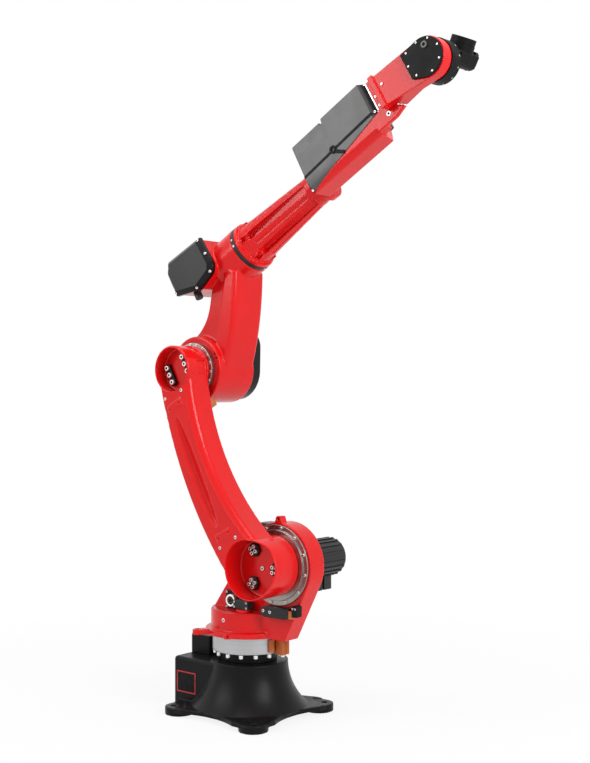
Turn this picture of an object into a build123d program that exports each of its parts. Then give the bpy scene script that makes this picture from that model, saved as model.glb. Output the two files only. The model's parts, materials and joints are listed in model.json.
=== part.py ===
from build123d import *
import math
import os

# A six-axis industrial robot arm standing on its base, in millimetres.
# Origin: floor level on the first axis. +X is the arm's forward direction, +Z is up.
# The castings are built in the frame of the joint that carries them and placed by the joint chain.

# Joint chain at rest
j2_forward = 170.0
j2_height = 492.0
arm_length = 681.7
arm_lean = 28.02
forearm_rise = 30.6
elbow_offset = 255.0
forearm_length = 1224.0
wrist_bend = 37.0

# Gaps at the turning joints, and how far a cutting shape runs past what it cuts
joint_gap = 0.3
cut_over = 1.0

# Base casting
foot_spacing = 340.0
foot_hole = 18.0
foot_height = 28.0
foot_radius = 46.0
foot_setback = 12.0
plate_inset = 2.0
foot_pad_start = 206.0
foot_pad_step = 3.0
plate_underside = 14.0
plate_waist = 178.0
plate_bite = 254.0
neck_radius = 123.0
neck_top = 172.0
flare_radius = 197.0
box_back = 232.0
box_width = 224.0
box_top = 166.0
box_round = 12.0
box_top_round = 10.0
panel_width = 150.0
panel_height = 90.0
panel_thickness = 5.0
socket_radius = 22.0
socket_length = 26.0
socket_wall = 5.0
socket_depth = 3.0
socket_pitch = 70.0
cap_front = 140.0
cap_back = 226.0
cap_width = 76.0
cap_top = 228.0
cap_round = 8.0
cap_top_round = 4.0

# First axis: reducer, ring and stops
hub_radius = 88.0
ring_radius = 118.0
ring_bottom = 203.0
ring_top = 258.0
ring_bore = 60.0
ring_edge = 3.0
stop_width = 33.0
stop_inner = 121.0
stop_outer = 151.0
stop_drop = 56.0
stop_angle = 1.0
stop_groove = 3.0
stop_grooves = 4
pad_width = 20.0
pad_depth = 8.0
pad_height = 40.0
pad_angle = -14.0

# Turret casting
rim_radius = 140.0
rim_height = 17.0
drum_radius = 123.0
drum_top = 337.0
drum_edge = 5.0
ear_reach = 171.0
ear_angle = 122.0
ear_radius = 16.0
ear_hole = 14.0
lug_angle = -77.0
lug_radius = 13.0
web_front = -58.0
web_back = 8.0
web_toe = 195.0
web_heel = -100.0
housing_radius = 130.0
eye_width = 30.0
eye_top = 16.0
eye_height = 20.0
eye_thickness = 26.0
eye_hole = 9.0
eye_round = 5.0

# Second axis: reducer flange, motor, cable entries and stop
j2_ring_radius = 124.0
j2_ring_bore = 50.0
j2_ring_depth = 14.0
j2_lip_radius = 109.0
j2_lip = 6.0
motor_flange_size = 130.0
motor_flange_depth = 20.0
motor_flange_round = 16.0
motor_core = 58.0
motor_fin = 4.0
motor_fin_root = 3.0
motor_fins = 20
motor_fin_width = 6.0
motor_end = 208.0
motor_round = 5.0
motor_socket_size = 36.0
motor_socket_drop = 40.0
motor_socket_inset = 74.0
motor_socket_pitch = 46.0
cable_box_width = 84.0
cable_box_height = 90.0
cable_box_depth = 66.0
cable_box_forward = 62.0
cable_box_rise = 114.0
entry_plate_width = 66.0
entry_plate_height = 56.0
entry_plate_depth = 8.0
entry_plate_forward = -9.0
entry_radius = 19.5
entry_length = 16.0
entry_bore = 13.0
entry_bore_depth = 3.0
boss_radius = 22.0
boss_height = 9.0
boss_forward = 50.0
boss_side = -84.0
side_socket_width = 62.0
side_socket_depth = 30.0
side_socket_height = 28.0
stop_plate_reach = 96.0
stop_plate_tail = 50.0
stop_plate_gap = 3.0
stop_plate_height = 34.0
stop_plate_depth = 26.0
stop_plate_round = 16.0
stop_plate_slope = 14.0
bumper_length = 14.0
bumper_height = 26.0
bracket_length = 20.0
bracket_rise = 12.0

# Lower arm casting
arm_outside = -203.0
arm_inside = -112.0
head2_radius = 94.0
head3_radius = 76.0
head3_rim = 2.0
arm_rear_bow = 114.0
arm_front_waist = 6.0
arm_waist_below = 310.0
arm_root_angle = 14.0
arm_root_inset = 5.0
arm_ridge = 24.0
arm_edge = 8.0
dish2_radius = 89.0
dish2_depth = 73.0
dish3_radius = 69.0
dish3_depth = 43.0
groove_low = 157.0
groove_below = 137.0
groove_end = -47.0
groove_rear = -80.0
groove_crease = -63.0
groove_front = -28.0
groove_depth = 15.0
groove_stations = (0.02, 0.1, 0.25, 0.4, 0.6, 0.75, 0.9, 0.98)
clamp2_radius = 23.0
clamp2_depth = 8.0
clamp2_circle = 59.0
clamp2_turn = 90.0
clamp2_count = 3
clamp3_length = 70.0
clamp3_width = 20.0
clamp3_depth = 10.0
clamp3_pitch = 76.0
pad_boss_length = 62.0
pad_boss_width = 24.0
pad_boss_height = 3.0
pad_boss_centre = -38.0
pad_boss_low = 129.0
pad_boss_below = 109.0
stop3_radius = 114.0
stop3_size = 24.0
stop3_width = 44.0
stop3_depth = 32.0

# Elbow casting
elbow_half = 70.0
elbow_boss_face = -92.0
elbow_radius = 107.0
elbow_edge = 14.0
leg_bulge = 14.0
leg_band = 46.0
leg_recess = 10.0
leg_toe = 67.0
leg_toe_drop = 74.0
leg_shoulder = 290.0
leg_shoulder_height = 192.0
leg_back = 130.0
leg_back_height = 160.0
leg_hollow = 78.0
leg_hollow_height = 121.0
pulley_forward = 214.0
pulley_height = 252.0
pulley_face = -96.0
collar_radius = 82.0
collar_start = 215.0
collar_end = 325.0
seal_depth = 13.0
seal_radius = 81.0
j3_ring_radius = 86.0
j3_ring_bore = 40.0
j3_ring_depth = 16.0
j3_cover_radius = 98.0
j3_cover_nose = 60.0
j3_cover_nose_forward = 72.0
j3_cover_nose_height = 44.0
j3_cover_depth = 54.0
j3_cover_edge = 14.0
cover4_depth = 27.0
cover4_radius = 36.0
cover4_tail = 62.0
cover4_tail_high = 322.0
cover4_tail_low = 240.0
cover4_top = 84.0
cover4_top_height = 357.0
cover4_front = 243.0
cover4_front_height = 347.0
cover4_base = 159.0
cover4_base_height = 202.0
cover4_lip = 4.0
cover4_edge = 14.0
socket4_radius = 13.0
socket4_forward = 118.0
socket4_side = -74.0
socket4_low = 180.0

# Forearm
tube_flange_radius = 80.0
tube_flange = 14.0
tube_start_radius = 70.0
tube_end_radius = 50.0
tube_end = 672.0
tube_rim_radius = 60.0
tube_boss = 13.0
tube_boss_circle = 64.0
tube_boss_length = 26.0
tube_pockets = 6
tube_pocket_start = 385.0
tube_pocket_end = 640.0
tube_pocket_width = 26.0
tube_pocket_floor = 44.0
tube_pocket_round = 8.0
house_end = 1040.0
trough_end = 982.0
house_left = -118.0
house_right = 56.0
house_right_height = 50.0
house_bottom = -66.0
house_top = 96.0
house_seam = -11.0
house_belly_right = -30.0
house_belly_round = 22.0
cover_start = 695.0
cover_end = 1011.0
cover_low_start = -64.0
cover_lean_left = 7.0
cover_lean_right = 21.0
cover_wall = 6.0
cover_bevel = 9.0
seam_width = 6.0
seam_depth = 3.0
trough_mouth = 60.0
trough_wall = 9.0
neck_high = 86.0
shelf_depth = 14.0
shelf_low = -62.0
shelf_end = 1053.0
shelf_nose = 1090.0
shelf_nose_low = -52.0
shelf_lip = 1068.0
reach_left = -144.0
reach_right = -78.0
reach_top = 70.0
reach_bottom = -26.0
reach_flange = 17.0
reach_flange_lip = 5.0
reach_shoulder = 112.0
reach_ring = -106.0
hub_clearance = 5.0
j5_radius = 59.0
side_cover_depth = 8.0
side_cover_start = 1162.0
side_cover_radius = 56.0
side_cover_top = 55.0
side_cover_bottom = -28.0
plug_forward = 17.0
plug_height = 28.0
plug_radius = 10.0
plug_bore = 4.5
plug_length = 4.0

# Wrist and tool flange
wrist_hub_radius = 62.0
wrist_body_left = -40.0
wrist_body_right = 46.0
wrist_heel_forward = 24.0
wrist_heel_side = 14.0
wrist_heel_radius = 22.0
wrist_body_half = 38.0
wrist_shoulder = 48.0
wrist_neck_radius = 37.0
wrist_nose = 66.0
wrist_edge = 5.0
end_cap_forward = 32.0
end_cap_radius = 31.0
end_cap_length = 24.0
flange_radius = 36.0
flange_face = 84.0
flange_bolt_circle = 50.0
flange_bolts = 4
flange_bolt_hole = 6.0
flange_pilot = 31.5
flange_pilot_depth = 6.0

# Places of the joints, from the chain
j3_forward = j2_forward - arm_length * math.sin(math.radians(arm_lean))
j3_height = j2_height + arm_length * math.cos(math.radians(arm_lean))
arm_place = Location((j2_forward, 0, j2_height), (0, -arm_lean, 0))
elbow_place = Location((j3_forward, 0, j3_height), (0, -forearm_rise, 0))
forearm_place = elbow_place * Location((0, 0, elbow_offset))
wrist_place = forearm_place * Location((forearm_length, 0, 0), (0, -wrist_bend, 0))

# Faces that neighbouring pieces share
rim_top = ring_top + rim_height
j2_face = web_front - j2_ring_depth
head2_inside = j2_face - joint_gap
stop_plate_front = j2_forward + stop_plate_reach
stop_plate_back = j2_forward - stop_plate_tail
stop_plate_top = j2_height - j2_ring_radius - stop_plate_gap
stop_plate_bottom = stop_plate_top - stop_plate_height
j3_face = elbow_boss_face - j3_ring_depth
head3_inside = j3_face - joint_gap
seal_end = collar_end + seal_depth
tube_start = seal_end + joint_gap
hub_face = reach_ring + joint_gap
flange_back = wrist_nose + joint_gap


def slab(outline, low, high):
    """A side-view outline given thickness from one station across the arm to another."""
    return extrude(Plane.XZ.offset(-high) * outline, amount=high - low)


def disc(radius, low, high, forward=0.0, height=0.0):
    """A round disc across the arm."""
    return slab(Pos(forward, height) * Circle(radius), low, high)


def rod(radius, start, end, side=0.0, height=0.0):
    """A round rod along the arm."""
    return extrude(Plane.YZ.offset(start) * Pos(side, height) * Circle(radius), amount=end - start)


def post(radius, bottom, top, forward=0.0, side=0.0):
    """A round post standing up."""
    return extrude(Plane.XY.offset(bottom) * Pos(forward, side) * Circle(radius), amount=top - bottom)


def block(x0, x1, y0, y1, z0, z1):
    """A plain block between two corners."""
    size = Box(x1 - x0, y1 - y0, z1 - z0)
    return Pos((x0 + x1) / 2, (y0 + y1) / 2, (z0 + z1) / 2) * size


def polar(radius, angle):
    """A point on a circle about the first axis."""
    return radius * math.cos(math.radians(angle)), radius * math.sin(math.radians(angle))


def hull(circles, points):
    """A taut outline round circles, given as forward, height and radius, and round points."""
    edges = []
    for forward, height, radius in circles:
        edges += list((Pos(forward, height) * Circle(radius)).edges())
    for first, second in zip(points[:-1], points[1:]):
        edges.append(Edge.make_line((first[0], first[1], 0), (second[0], second[1], 0)))
    return make_hull(edges)


# Base
def make_base_casting():
    half = foot_spacing / 2
    lug = half - foot_setback
    corner = foot_radius - plate_inset
    plate = RectangleRounded(2 * (lug + corner), 2 * (lug + corner), corner)
    for turn in range(4):
        x, y = polar(plate_waist + plate_bite, 90 * turn)
        plate -= Pos(x, y) * Circle(plate_bite)
    shell = block(-box_back, 0, -box_width / 2, box_width / 2, plate_underside, box_top)
    shell = fillet(shell.edges().filter_by(Axis.Z).group_by(Axis.X)[0], box_round)
    shell = fillet(shell.faces().sort_by(Axis.Z)[-1].edges().group_by(Axis.X)[0], box_top_round)
    body = extrude(Plane.XY.offset(plate_underside) * plate, amount=foot_height - plate_underside) + shell
    drop = neck_top - foot_height
    spread = flare_radius - math.sqrt(flare_radius ** 2 - drop ** 2)
    middle = drop / 2
    middle_spread = flare_radius - math.sqrt(flare_radius ** 2 - middle ** 2)
    outline = Line((0, foot_height), (neck_radius + spread, foot_height))
    outline += ThreePointArc(
        (neck_radius + spread, foot_height),
        (neck_radius + middle_spread, neck_top - middle),
        (neck_radius, neck_top),
    )
    outline += Line((neck_radius, neck_top), (0, neck_top))
    outline += Line((0, neck_top), (0, foot_height))
    body += revolve(Plane.XZ * make_face(outline), Axis.Z)
    for sx in (-1, 1):
        for sy in (-1, 1):
            body += post(foot_radius, 0, foot_height, sx * lug, sy * lug)
    for turn in range(4):
        pad = block(foot_pad_start, foot_spacing, -foot_radius, foot_radius,
                    foot_height - foot_pad_step, foot_height)
        body -= Rot(0, 0, 45 + 90 * turn) * pad
    for sx in (-1, 1):
        for sy in (-1, 1):
            body -= post(foot_hole / 2, 0, foot_height, sx * half, sy * half)
    return body


def make_rear_panel():
    middle = (plate_underside + box_top) / 2
    low = middle - panel_height / 2
    return block(-box_back - panel_thickness, -box_back, -panel_width / 2, panel_width / 2,
                 low, low + panel_height)


def make_rear_sockets():
    middle = (plate_underside + box_top) / 2
    face = -box_back - panel_thickness
    sockets = []
    for side in (-1, 1):
        socket = rod(socket_radius, face - socket_length, face, side * socket_pitch / 2, middle)
        socket -= rod(socket_radius - socket_wall, face - socket_length, face - socket_length + socket_depth,
                      side * socket_pitch / 2, middle)
        sockets.append(socket)
    return Compound(children=sockets)


def make_j1_motor_cap():
    cap = block(-cap_back, -cap_front, -cap_width / 2, cap_width / 2, box_top, cap_top)
    cap = fillet(cap.edges().filter_by(Axis.Z), cap_round)
    return fillet(cap.faces().sort_by(Axis.Z)[-1].edges(), cap_top_round)


def make_j1_reducer_hub():
    return post(hub_radius, neck_top, ring_bottom - joint_gap) - post(ring_bore, neck_top, ring_bottom)


# Turret
def make_j1_ring():
    ring = post(ring_radius, ring_bottom, ring_top)
    ring = chamfer(ring.faces().sort_by(Axis.Z)[0].edges(), ring_edge)
    return ring - post(ring_bore, ring_bottom, ring_top)


def make_turret_casting():
    rim = post(rim_radius, ring_top, rim_top)
    for side in (-1, 1):
        x, y = polar(ear_reach, side * ear_angle)
        neck = Pos(x / 2, y / 2, ring_top + rim_height / 2) * Rot(0, 0, side * ear_angle)
        rim += neck * Box(ear_reach, 2 * ear_radius, rim_height)
        rim += post(ear_radius, ring_top, rim_top, x, y)
    x, y = polar(rim_radius, lug_angle)
    rim += post(lug_radius, ring_top, rim_top, x, y)
    drum = post(drum_radius, ring_top, drum_top)
    drum = fillet(drum.faces().sort_by(Axis.Z)[-1].edges(), drum_edge)
    outline = hull([(j2_forward, j2_height, housing_radius)],
                   [(web_heel, drum_top), (0, ring_top), (web_toe, ring_top)])
    web = slab(outline, web_front, web_back)
    crown = j2_height + housing_radius + eye_height
    lug = Polyline(
        (j2_forward - eye_width / 2, j2_height),
        (j2_forward - eye_width / 2, j2_height + housing_radius),
        (j2_forward - eye_top / 2, crown),
        (j2_forward + eye_top / 2, crown),
        (j2_forward + eye_width / 2, j2_height + housing_radius),
        (j2_forward + eye_width / 2, j2_height),
        close=True,
    )
    eye = slab(make_face(lug), web_front, web_front + eye_thickness)
    eye = fillet(eye.edges().filter_by(Axis.Y).group_by(Axis.Z)[-1], eye_round)
    eye_centre = j2_height + housing_radius + eye_height / 2
    body = rim + drum + web + eye
    body -= disc(eye_hole / 2, web_front, web_front + eye_thickness, j2_forward, eye_centre)
    for side in (-1, 1):
        x, y = polar(ear_reach, side * ear_angle)
        body -= post(ear_hole / 2, ring_top, rim_top, x, y)
    return body


def make_j1_stop_block():
    body = block(stop_inner, stop_outer, -stop_width / 2, stop_width / 2, ring_top - stop_drop, ring_top)
    pitch = stop_width / (stop_grooves + 1)
    for index in range(stop_grooves):
        side = -stop_width / 2 + pitch * (index + 1)
        body -= block(stop_outer - stop_groove, stop_outer, side - stop_groove / 2, side + stop_groove / 2,
                      ring_top - stop_drop, ring_top)
    return Rot(0, 0, stop_angle) * body


def make_j1_stop_pad():
    middle = (ring_bottom + ring_top) / 2
    pad = block(ring_bore, ring_radius + pad_depth, -pad_width / 2, pad_width / 2,
                middle - pad_height / 2, middle + pad_height / 2)
    pad -= post(ring_radius + joint_gap, ring_bottom, ring_top)
    return Rot(0, 0, pad_angle) * pad


def make_connector_plate():
    low = drum_top
    left = entry_plate_forward - entry_plate_width / 2
    return block(left, left + entry_plate_width, web_front - entry_plate_depth, web_front,
                 low, low + entry_plate_height)


def make_round_connector():
    height = drum_top + entry_plate_height / 2
    face = web_front - entry_plate_depth
    body = disc(entry_radius, face - entry_length, face, entry_plate_forward, height)
    floor = face - entry_length + entry_bore_depth
    return body - disc(entry_bore, face - entry_length, floor, entry_plate_forward, height)


def make_cable_boss():
    return post(boss_radius, drum_top, drum_top + boss_height, boss_forward, boss_side)


def make_side_connector():
    low = drum_top + boss_height
    return block(boss_forward - side_socket_width / 2, boss_forward + side_socket_width / 2,
                 boss_side - side_socket_depth / 2, boss_side + side_socket_depth / 2,
                 low, low + side_socket_height)


def make_j2_ring():
    body = disc(j2_ring_radius, j2_face + j2_lip, web_front, j2_forward, j2_height)
    body += disc(j2_lip_radius, j2_face, j2_face + j2_lip, j2_forward, j2_height)
    return body - disc(j2_ring_bore, j2_face, web_front, j2_forward, j2_height)


def make_j2_motor_flange():
    outline = RectangleRounded(motor_flange_size, motor_flange_size, motor_flange_round)
    return slab(Pos(j2_forward, j2_height) * outline, web_back, web_back + motor_flange_depth)


def make_j2_motor():
    start = web_back + motor_flange_depth
    outline = Circle(motor_core)
    for index in range(motor_fins):
        fin = Rectangle(motor_fin + motor_fin_root, motor_fin_width)
        fin = Pos(motor_core + (motor_fin - motor_fin_root) / 2, 0) * fin
        outline += Rot(0, 0, 360 / motor_fins * (index + 0.5)) * fin
    body = slab(Pos(j2_forward, j2_height) * outline, start, motor_end - motor_round)
    return body + disc(motor_core, motor_end - motor_round, motor_end, j2_forward, j2_height)


def make_j2_motor_sockets():
    low = j2_height - motor_core - motor_fin - motor_socket_drop
    start = web_back + motor_flange_depth
    sockets = []
    for index in range(2):
        side = start + motor_socket_inset + motor_socket_pitch * index
        socket = block(j2_forward - motor_socket_size / 2, j2_forward + motor_socket_size / 2,
                       side, side + motor_socket_size, low, j2_height - motor_core)
        socket -= make_j2_motor()
        sockets.append(max(socket.solids(), key=lambda solid: solid.volume))
    return Compound(children=sockets)


def make_cable_box():
    left = cable_box_forward - cable_box_width / 2
    top = j2_height + cable_box_rise
    box = block(left, left + cable_box_width, web_back, web_back + cable_box_depth,
                top - cable_box_height, top)
    return fillet(box.edges().filter_by(Axis.Y), cap_round)


def make_j2_stop_plate():
    body = block(stop_plate_back, stop_plate_front - bumper_length - bracket_length,
                 web_front - stop_plate_depth, web_front, stop_plate_bottom, stop_plate_top)
    body = fillet(body.edges().filter_by(Axis.Y).group_by(Axis.X)[0], stop_plate_round)
    return chamfer(body.edges().filter_by(Axis.Y).group_by(Axis.X)[-1].sort_by(Axis.Z)[0], stop_plate_slope)


def make_j2_bumper():
    end = stop_plate_front - bracket_length
    middle = (stop_plate_top + stop_plate_bottom) / 2
    return block(end - bumper_length, end, web_front - stop_plate_depth, web_front,
                 middle - bumper_height / 2, middle + bumper_height / 2)


def make_bumper_bracket():
    start = stop_plate_front - bracket_length
    return block(start, stop_plate_front, web_front - stop_plate_depth, web_front,
                 stop_plate_bottom + bracket_rise, stop_plate_top + bracket_rise)


# Lower arm, in the frame of the second axis with the third axis straight above
def make_arm_groove():
    """A V groove in the outer face that widens and deepens toward its middle."""
    groove_length = arm_length - groove_below - groove_low
    sections = []
    for station in groove_stations:
        fullness = math.sqrt(4 * station * (1 - station))
        rear = groove_end + fullness * (groove_rear - groove_end)
        front = groove_end + fullness * (groove_front - groove_end)
        crease = groove_end + fullness * (groove_crease - groove_end)
        vee = Polyline(
            (rear, arm_outside - cut_over),
            (front, arm_outside - cut_over),
            (crease, arm_outside + fullness * groove_depth),
            close=True,
        )
        sections.append(Plane.XY.offset(groove_low + station * groove_length) * make_face(vee))
    return loft(sections, ruled=True)


def make_lower_arm_casting():
    across2, along2 = polar(head2_radius - arm_root_inset, arm_root_angle)
    across3, along3 = polar(head3_radius - arm_root_inset, arm_root_angle)
    low_rear = (-across2, along2)
    low_front = (across2, along2)
    high_rear = (-across3, arm_length - along3)
    high_front = (across3, arm_length - along3)
    waist = arm_length - arm_waist_below
    outline = ThreePointArc(low_rear, (-arm_rear_bow, waist), high_rear)
    outline += Line(high_rear, high_front)
    outline += ThreePointArc(high_front, (arm_front_waist, waist), low_front)
    outline += Line(low_front, low_rear)
    body = slab(make_face(outline), arm_outside, arm_inside)
    outer_edges = body.faces().sort_by(Axis.Y)[0].edges().filter_by(GeomType.CIRCLE).sort_by(Axis.X)
    body = fillet(outer_edges[-1], arm_ridge)
    outer_edges = body.faces().sort_by(Axis.Y)[0].edges().filter_by(GeomType.CIRCLE).sort_by(Axis.X)
    body = fillet(outer_edges[0], arm_edge)
    head2 = disc(head2_radius, arm_outside, head2_inside)
    body += fillet(head2.faces().sort_by(Axis.Y)[0].edges(), arm_edge)
    head3 = disc(head3_radius, arm_outside - head3_rim, head3_inside, 0, arm_length)
    body += fillet(head3.faces().sort_by(Axis.Y)[0].edges(), arm_edge)
    body -= make_arm_groove()
    for height in (pad_boss_low, arm_length - pad_boss_below):
        body += slab(Pos(pad_boss_centre, height) * Rectangle(pad_boss_length, pad_boss_width),
                     arm_outside - pad_boss_height, arm_outside)
    body -= disc(dish2_radius, arm_outside, arm_outside + dish2_depth)
    face3 = arm_outside - head3_rim
    return body - disc(dish3_radius, face3, face3 + dish3_depth, 0, arm_length)


def make_j2_clamp_plates():
    floor = arm_outside + dish2_depth
    plates = []
    for index in range(clamp2_count):
        plate = Pos(clamp2_circle, 0) * RegularPolygon(clamp2_radius, 6)
        plate = Rot(0, 0, clamp2_turn + 360 / clamp2_count * index) * plate
        plates.append(slab(plate, floor - clamp2_depth, floor))
    return Compound(children=plates)


def make_j3_clamp_plates():
    floor = arm_outside - head3_rim + dish3_depth
    plates = []
    for side in (-1, 1):
        plate = Pos(side * clamp3_pitch / 2, arm_length) * Rectangle(clamp3_width, clamp3_length)
        plates.append(slab(plate, floor - clamp3_depth, floor))
    return Compound(children=plates)


def make_j3_stop_block():
    low = arm_length - stop3_radius - stop3_size
    return block(-stop3_width / 2, stop3_width / 2, arm_inside, arm_inside + stop3_depth,
                 low, low + stop3_size)


# Elbow, in the frame of the third axis with the forearm along +X
def pulley_outline(inset):
    """The side view of the upper head and its cover, drawn in by an inset."""
    return hull([(pulley_forward, pulley_height, cover4_radius - inset)],
                [(cover4_front - inset, cover4_front_height - inset),
                 (cover4_top + inset, cover4_top_height - inset),
                 (cover4_tail + inset, cover4_tail_high),
                 (cover4_tail + inset, cover4_tail_low + inset / 2),
                 (cover4_base, cover4_base_height + inset)])


def make_elbow_casting():
    toe = Vector(leg_toe, -leg_toe_drop)
    shoulder = Vector(leg_shoulder, leg_shoulder_height)
    run = (shoulder - toe).normalized()
    inward = Vector(-run.Y, run.X)
    bulge = (toe + shoulder) / 2 - inward * leg_bulge
    leg = Line((0, 0), toe)
    leg += ThreePointArc(toe, bulge, shoulder)
    leg += Line(shoulder, (collar_start, elbow_offset))
    leg += Line((collar_start, elbow_offset), (leg_back, leg_back_height))
    leg += ThreePointArc((leg_back, leg_back_height), (leg_hollow, leg_hollow_height), (0, elbow_radius))
    leg += Line((0, elbow_radius), (0, 0))
    body = slab(make_face(leg), -elbow_half, elbow_half)
    front = body.faces().sort_by_distance((bulge.X, 0, bulge.Y))[0]
    body = fillet(front.edges().filter_by(GeomType.CIRCLE), elbow_edge)
    step = inward * leg_band
    past = run * elbow_radius
    behind = inward * elbow_offset
    corners = [toe + step - past, shoulder + step + past, shoulder + behind + past, toe + behind - past]
    recess = make_face(Polyline(*[(corner.X, corner.Y) for corner in corners], close=True))
    body -= slab(recess, -elbow_half, -elbow_half + leg_recess)
    body -= slab(recess, elbow_half - leg_recess, elbow_half)
    body += disc(elbow_radius, elbow_boss_face, elbow_half)
    body += slab(pulley_outline(cover4_lip), pulley_face, elbow_half)
    body += rod(collar_radius, collar_start, collar_end, 0, elbow_offset)
    return body


def make_j3_ring():
    return disc(j3_ring_radius, j3_face, elbow_boss_face) - disc(j3_ring_bore, j3_face, elbow_boss_face)


def make_j3_motor_cover():
    nose = (j3_cover_nose_forward, j3_cover_nose_height, j3_cover_nose)
    outline = hull([(0, 0, j3_cover_radius), nose], [])
    body = slab(outline, elbow_half, elbow_half + j3_cover_depth)
    return chamfer(body.faces().sort_by(Axis.Y)[-1].edges(), j3_cover_edge)


def make_j4_motor_cover():
    body = slab(pulley_outline(0), pulley_face - cover4_depth, pulley_face)
    return chamfer(body.faces().sort_by(Axis.Y)[0].edges(), cover4_edge)


def make_j4_motor_socket():
    body = post(socket4_radius, socket4_low, pulley_height, socket4_forward, socket4_side)
    body -= make_elbow_casting()
    return min(body.solids(), key=lambda solid: solid.center().Z)


def make_j4_seal_ring():
    return (rod(seal_radius, collar_end, seal_end, 0, elbow_offset)
            - rod(tube_end_radius, collar_end, seal_end, 0, elbow_offset))


# Forearm, in a frame on the fourth axis with +X along it
def make_forearm_tube():
    body = rod(tube_flange_radius, tube_start, tube_start + tube_flange)
    outline = Line((tube_start, 0), (tube_start, tube_start_radius))
    outline += Line((tube_start, tube_start_radius), (tube_end, tube_end_radius))
    outline += Line((tube_end, tube_end_radius), (tube_end, 0))
    outline += Line((tube_end, 0), (tube_start, 0))
    body += revolve(Plane.XZ * make_face(outline), Axis.X)
    body += rod(tube_rim_radius, tube_end, cover_start)
    root = tube_start + tube_flange
    for index in range(tube_pockets):
        side, height = polar(tube_boss_circle, 360 / tube_pockets * index)
        body += rod(tube_boss, root, root + tube_boss_length, side, height)
    length = tube_pocket_end - tube_pocket_start
    for index in range(tube_pockets):
        pocket = Rot(360 / tube_pockets * (index + 0.5), 0, 0)
        slot = Plane.XY.offset(tube_pocket_floor)
        slot = extrude(slot * Pos(tube_pocket_start + length / 2, 0)
                       * RectangleRounded(length, tube_pocket_width, tube_pocket_round),
                       amount=tube_flange_radius)
        body -= pocket * slot
    return body


def forearm_section():
    """The trough and its cover in one cross-section, seen along the forearm."""
    outline = Polyline(
        (house_left, house_seam),
        (house_left + cover_lean_left, house_top - cover_bevel),
        (house_left + cover_lean_left + cover_bevel, house_top),
        (house_right - cover_lean_right - cover_bevel, house_top),
        (house_right - cover_lean_right, house_top - cover_bevel),
        (house_right, house_right_height),
        (house_belly_right, house_bottom),
        (house_left, house_bottom),
        close=True,
    )
    section = make_face(outline)
    return fillet(section.vertices().group_by(Axis.Y)[0].sort_by(Axis.X)[0], house_belly_round)


def cover_parting():
    """The side view of what lies above the slanted parting line of the cover."""
    outline = Polyline(
        (cover_start, cover_low_start),
        (cover_end, house_seam),
        (cover_end, house_top + cut_over),
        (cover_start, house_top + cut_over),
        close=True,
    )
    return make_face(outline)


def parting_height(forward):
    """Height of the cover's lower edge at a station along the forearm."""
    share = (forward - cover_start) / (cover_end - cover_start)
    return cover_low_start + share * (house_seam - cover_low_start)


def make_forearm_spine():
    """The motor frame that stands on the trough inside the cover."""
    inside = Plane.YZ.offset(cover_start) * offset(forearm_section(), -cover_wall)
    return extrude(inside, amount=cover_end - cover_wall - cover_start)


def make_forearm_housing():
    section = Plane.YZ.offset(cover_start) * forearm_section()
    body = extrude(section, amount=trough_end - cover_start)
    side = Polyline(
        (cover_start, house_bottom - cut_over),
        (trough_end, house_bottom - cut_over),
        (trough_end, parting_height(trough_end)),
        (cover_start, cover_low_start),
        close=True,
    )
    body = body & slab(make_face(side), house_left - cut_over, house_right + cut_over)
    body += make_forearm_spine()
    shelf_top = reach_bottom - reach_flange_lip
    neck = Polyline(
        (trough_end - trough_mouth, shelf_low),
        (shelf_end, shelf_low),
        (shelf_nose, shelf_nose_low),
        (shelf_lip, shelf_top),
        (house_end, shelf_top),
        (house_end, neck_high),
        (trough_end - trough_mouth, neck_high),
        close=True,
    )
    neck = slab(make_face(neck), house_left, reach_right) - slab(cover_parting(), house_left, reach_right)
    neck -= block(trough_end, shelf_nose, house_left + shelf_depth, reach_right, shelf_low, shelf_top)
    body += max(neck.solids(), key=lambda solid: solid.volume)
    mouth = extrude(Plane.YZ.offset(trough_end - trough_mouth) * offset(forearm_section(), -trough_wall),
                    amount=trough_mouth)
    mouth = mouth & block(trough_end - trough_mouth, trough_end, house_left + shelf_depth, house_right,
                          house_bottom, parting_height(trough_end) - trough_wall)
    return body - mouth


def make_forearm_cover():
    body = extrude(Plane.YZ.offset(cover_start) * forearm_section(), amount=cover_end - cover_start)
    body = body & slab(cover_parting(), house_left - cut_over, house_right + cut_over)
    seam = block(cover_start, cover_end, house_left, house_left + seam_depth,
                 house_seam - seam_width / 2, house_seam + seam_width / 2)
    return body - make_forearm_spine() - seam


def make_wrist_extension():
    outline = hull([(forearm_length, 0, j5_radius)],
                   [(house_end, reach_top), (house_end, reach_bottom),
                    (house_end + reach_shoulder, reach_bottom)])
    body = slab(outline, reach_left, reach_right)
    body += block(house_end, house_end + reach_flange, reach_left - reach_flange_lip, reach_right,
                  reach_bottom - reach_flange_lip, reach_top + reach_flange_lip)
    return body - disc(wrist_hub_radius + hub_clearance, reach_ring, reach_right, forearm_length)


def make_j5_side_cover():
    outline = hull([(forearm_length, 0, side_cover_radius)],
                   [(side_cover_start, side_cover_top), (side_cover_start, side_cover_bottom)])
    return slab(outline, reach_left - side_cover_depth, reach_left)


def make_j5_cover_boss():
    face = reach_left - side_cover_depth
    forward = forearm_length + plug_forward
    return (disc(plug_radius, face - plug_length, face, forward, plug_height)
            - disc(plug_bore, face - plug_length, face, forward, plug_height))


# Wrist, in a frame on the fifth axis with the sixth axis along +X
def make_wrist_hub():
    return disc(wrist_hub_radius, hub_face, wrist_body_left)


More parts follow.
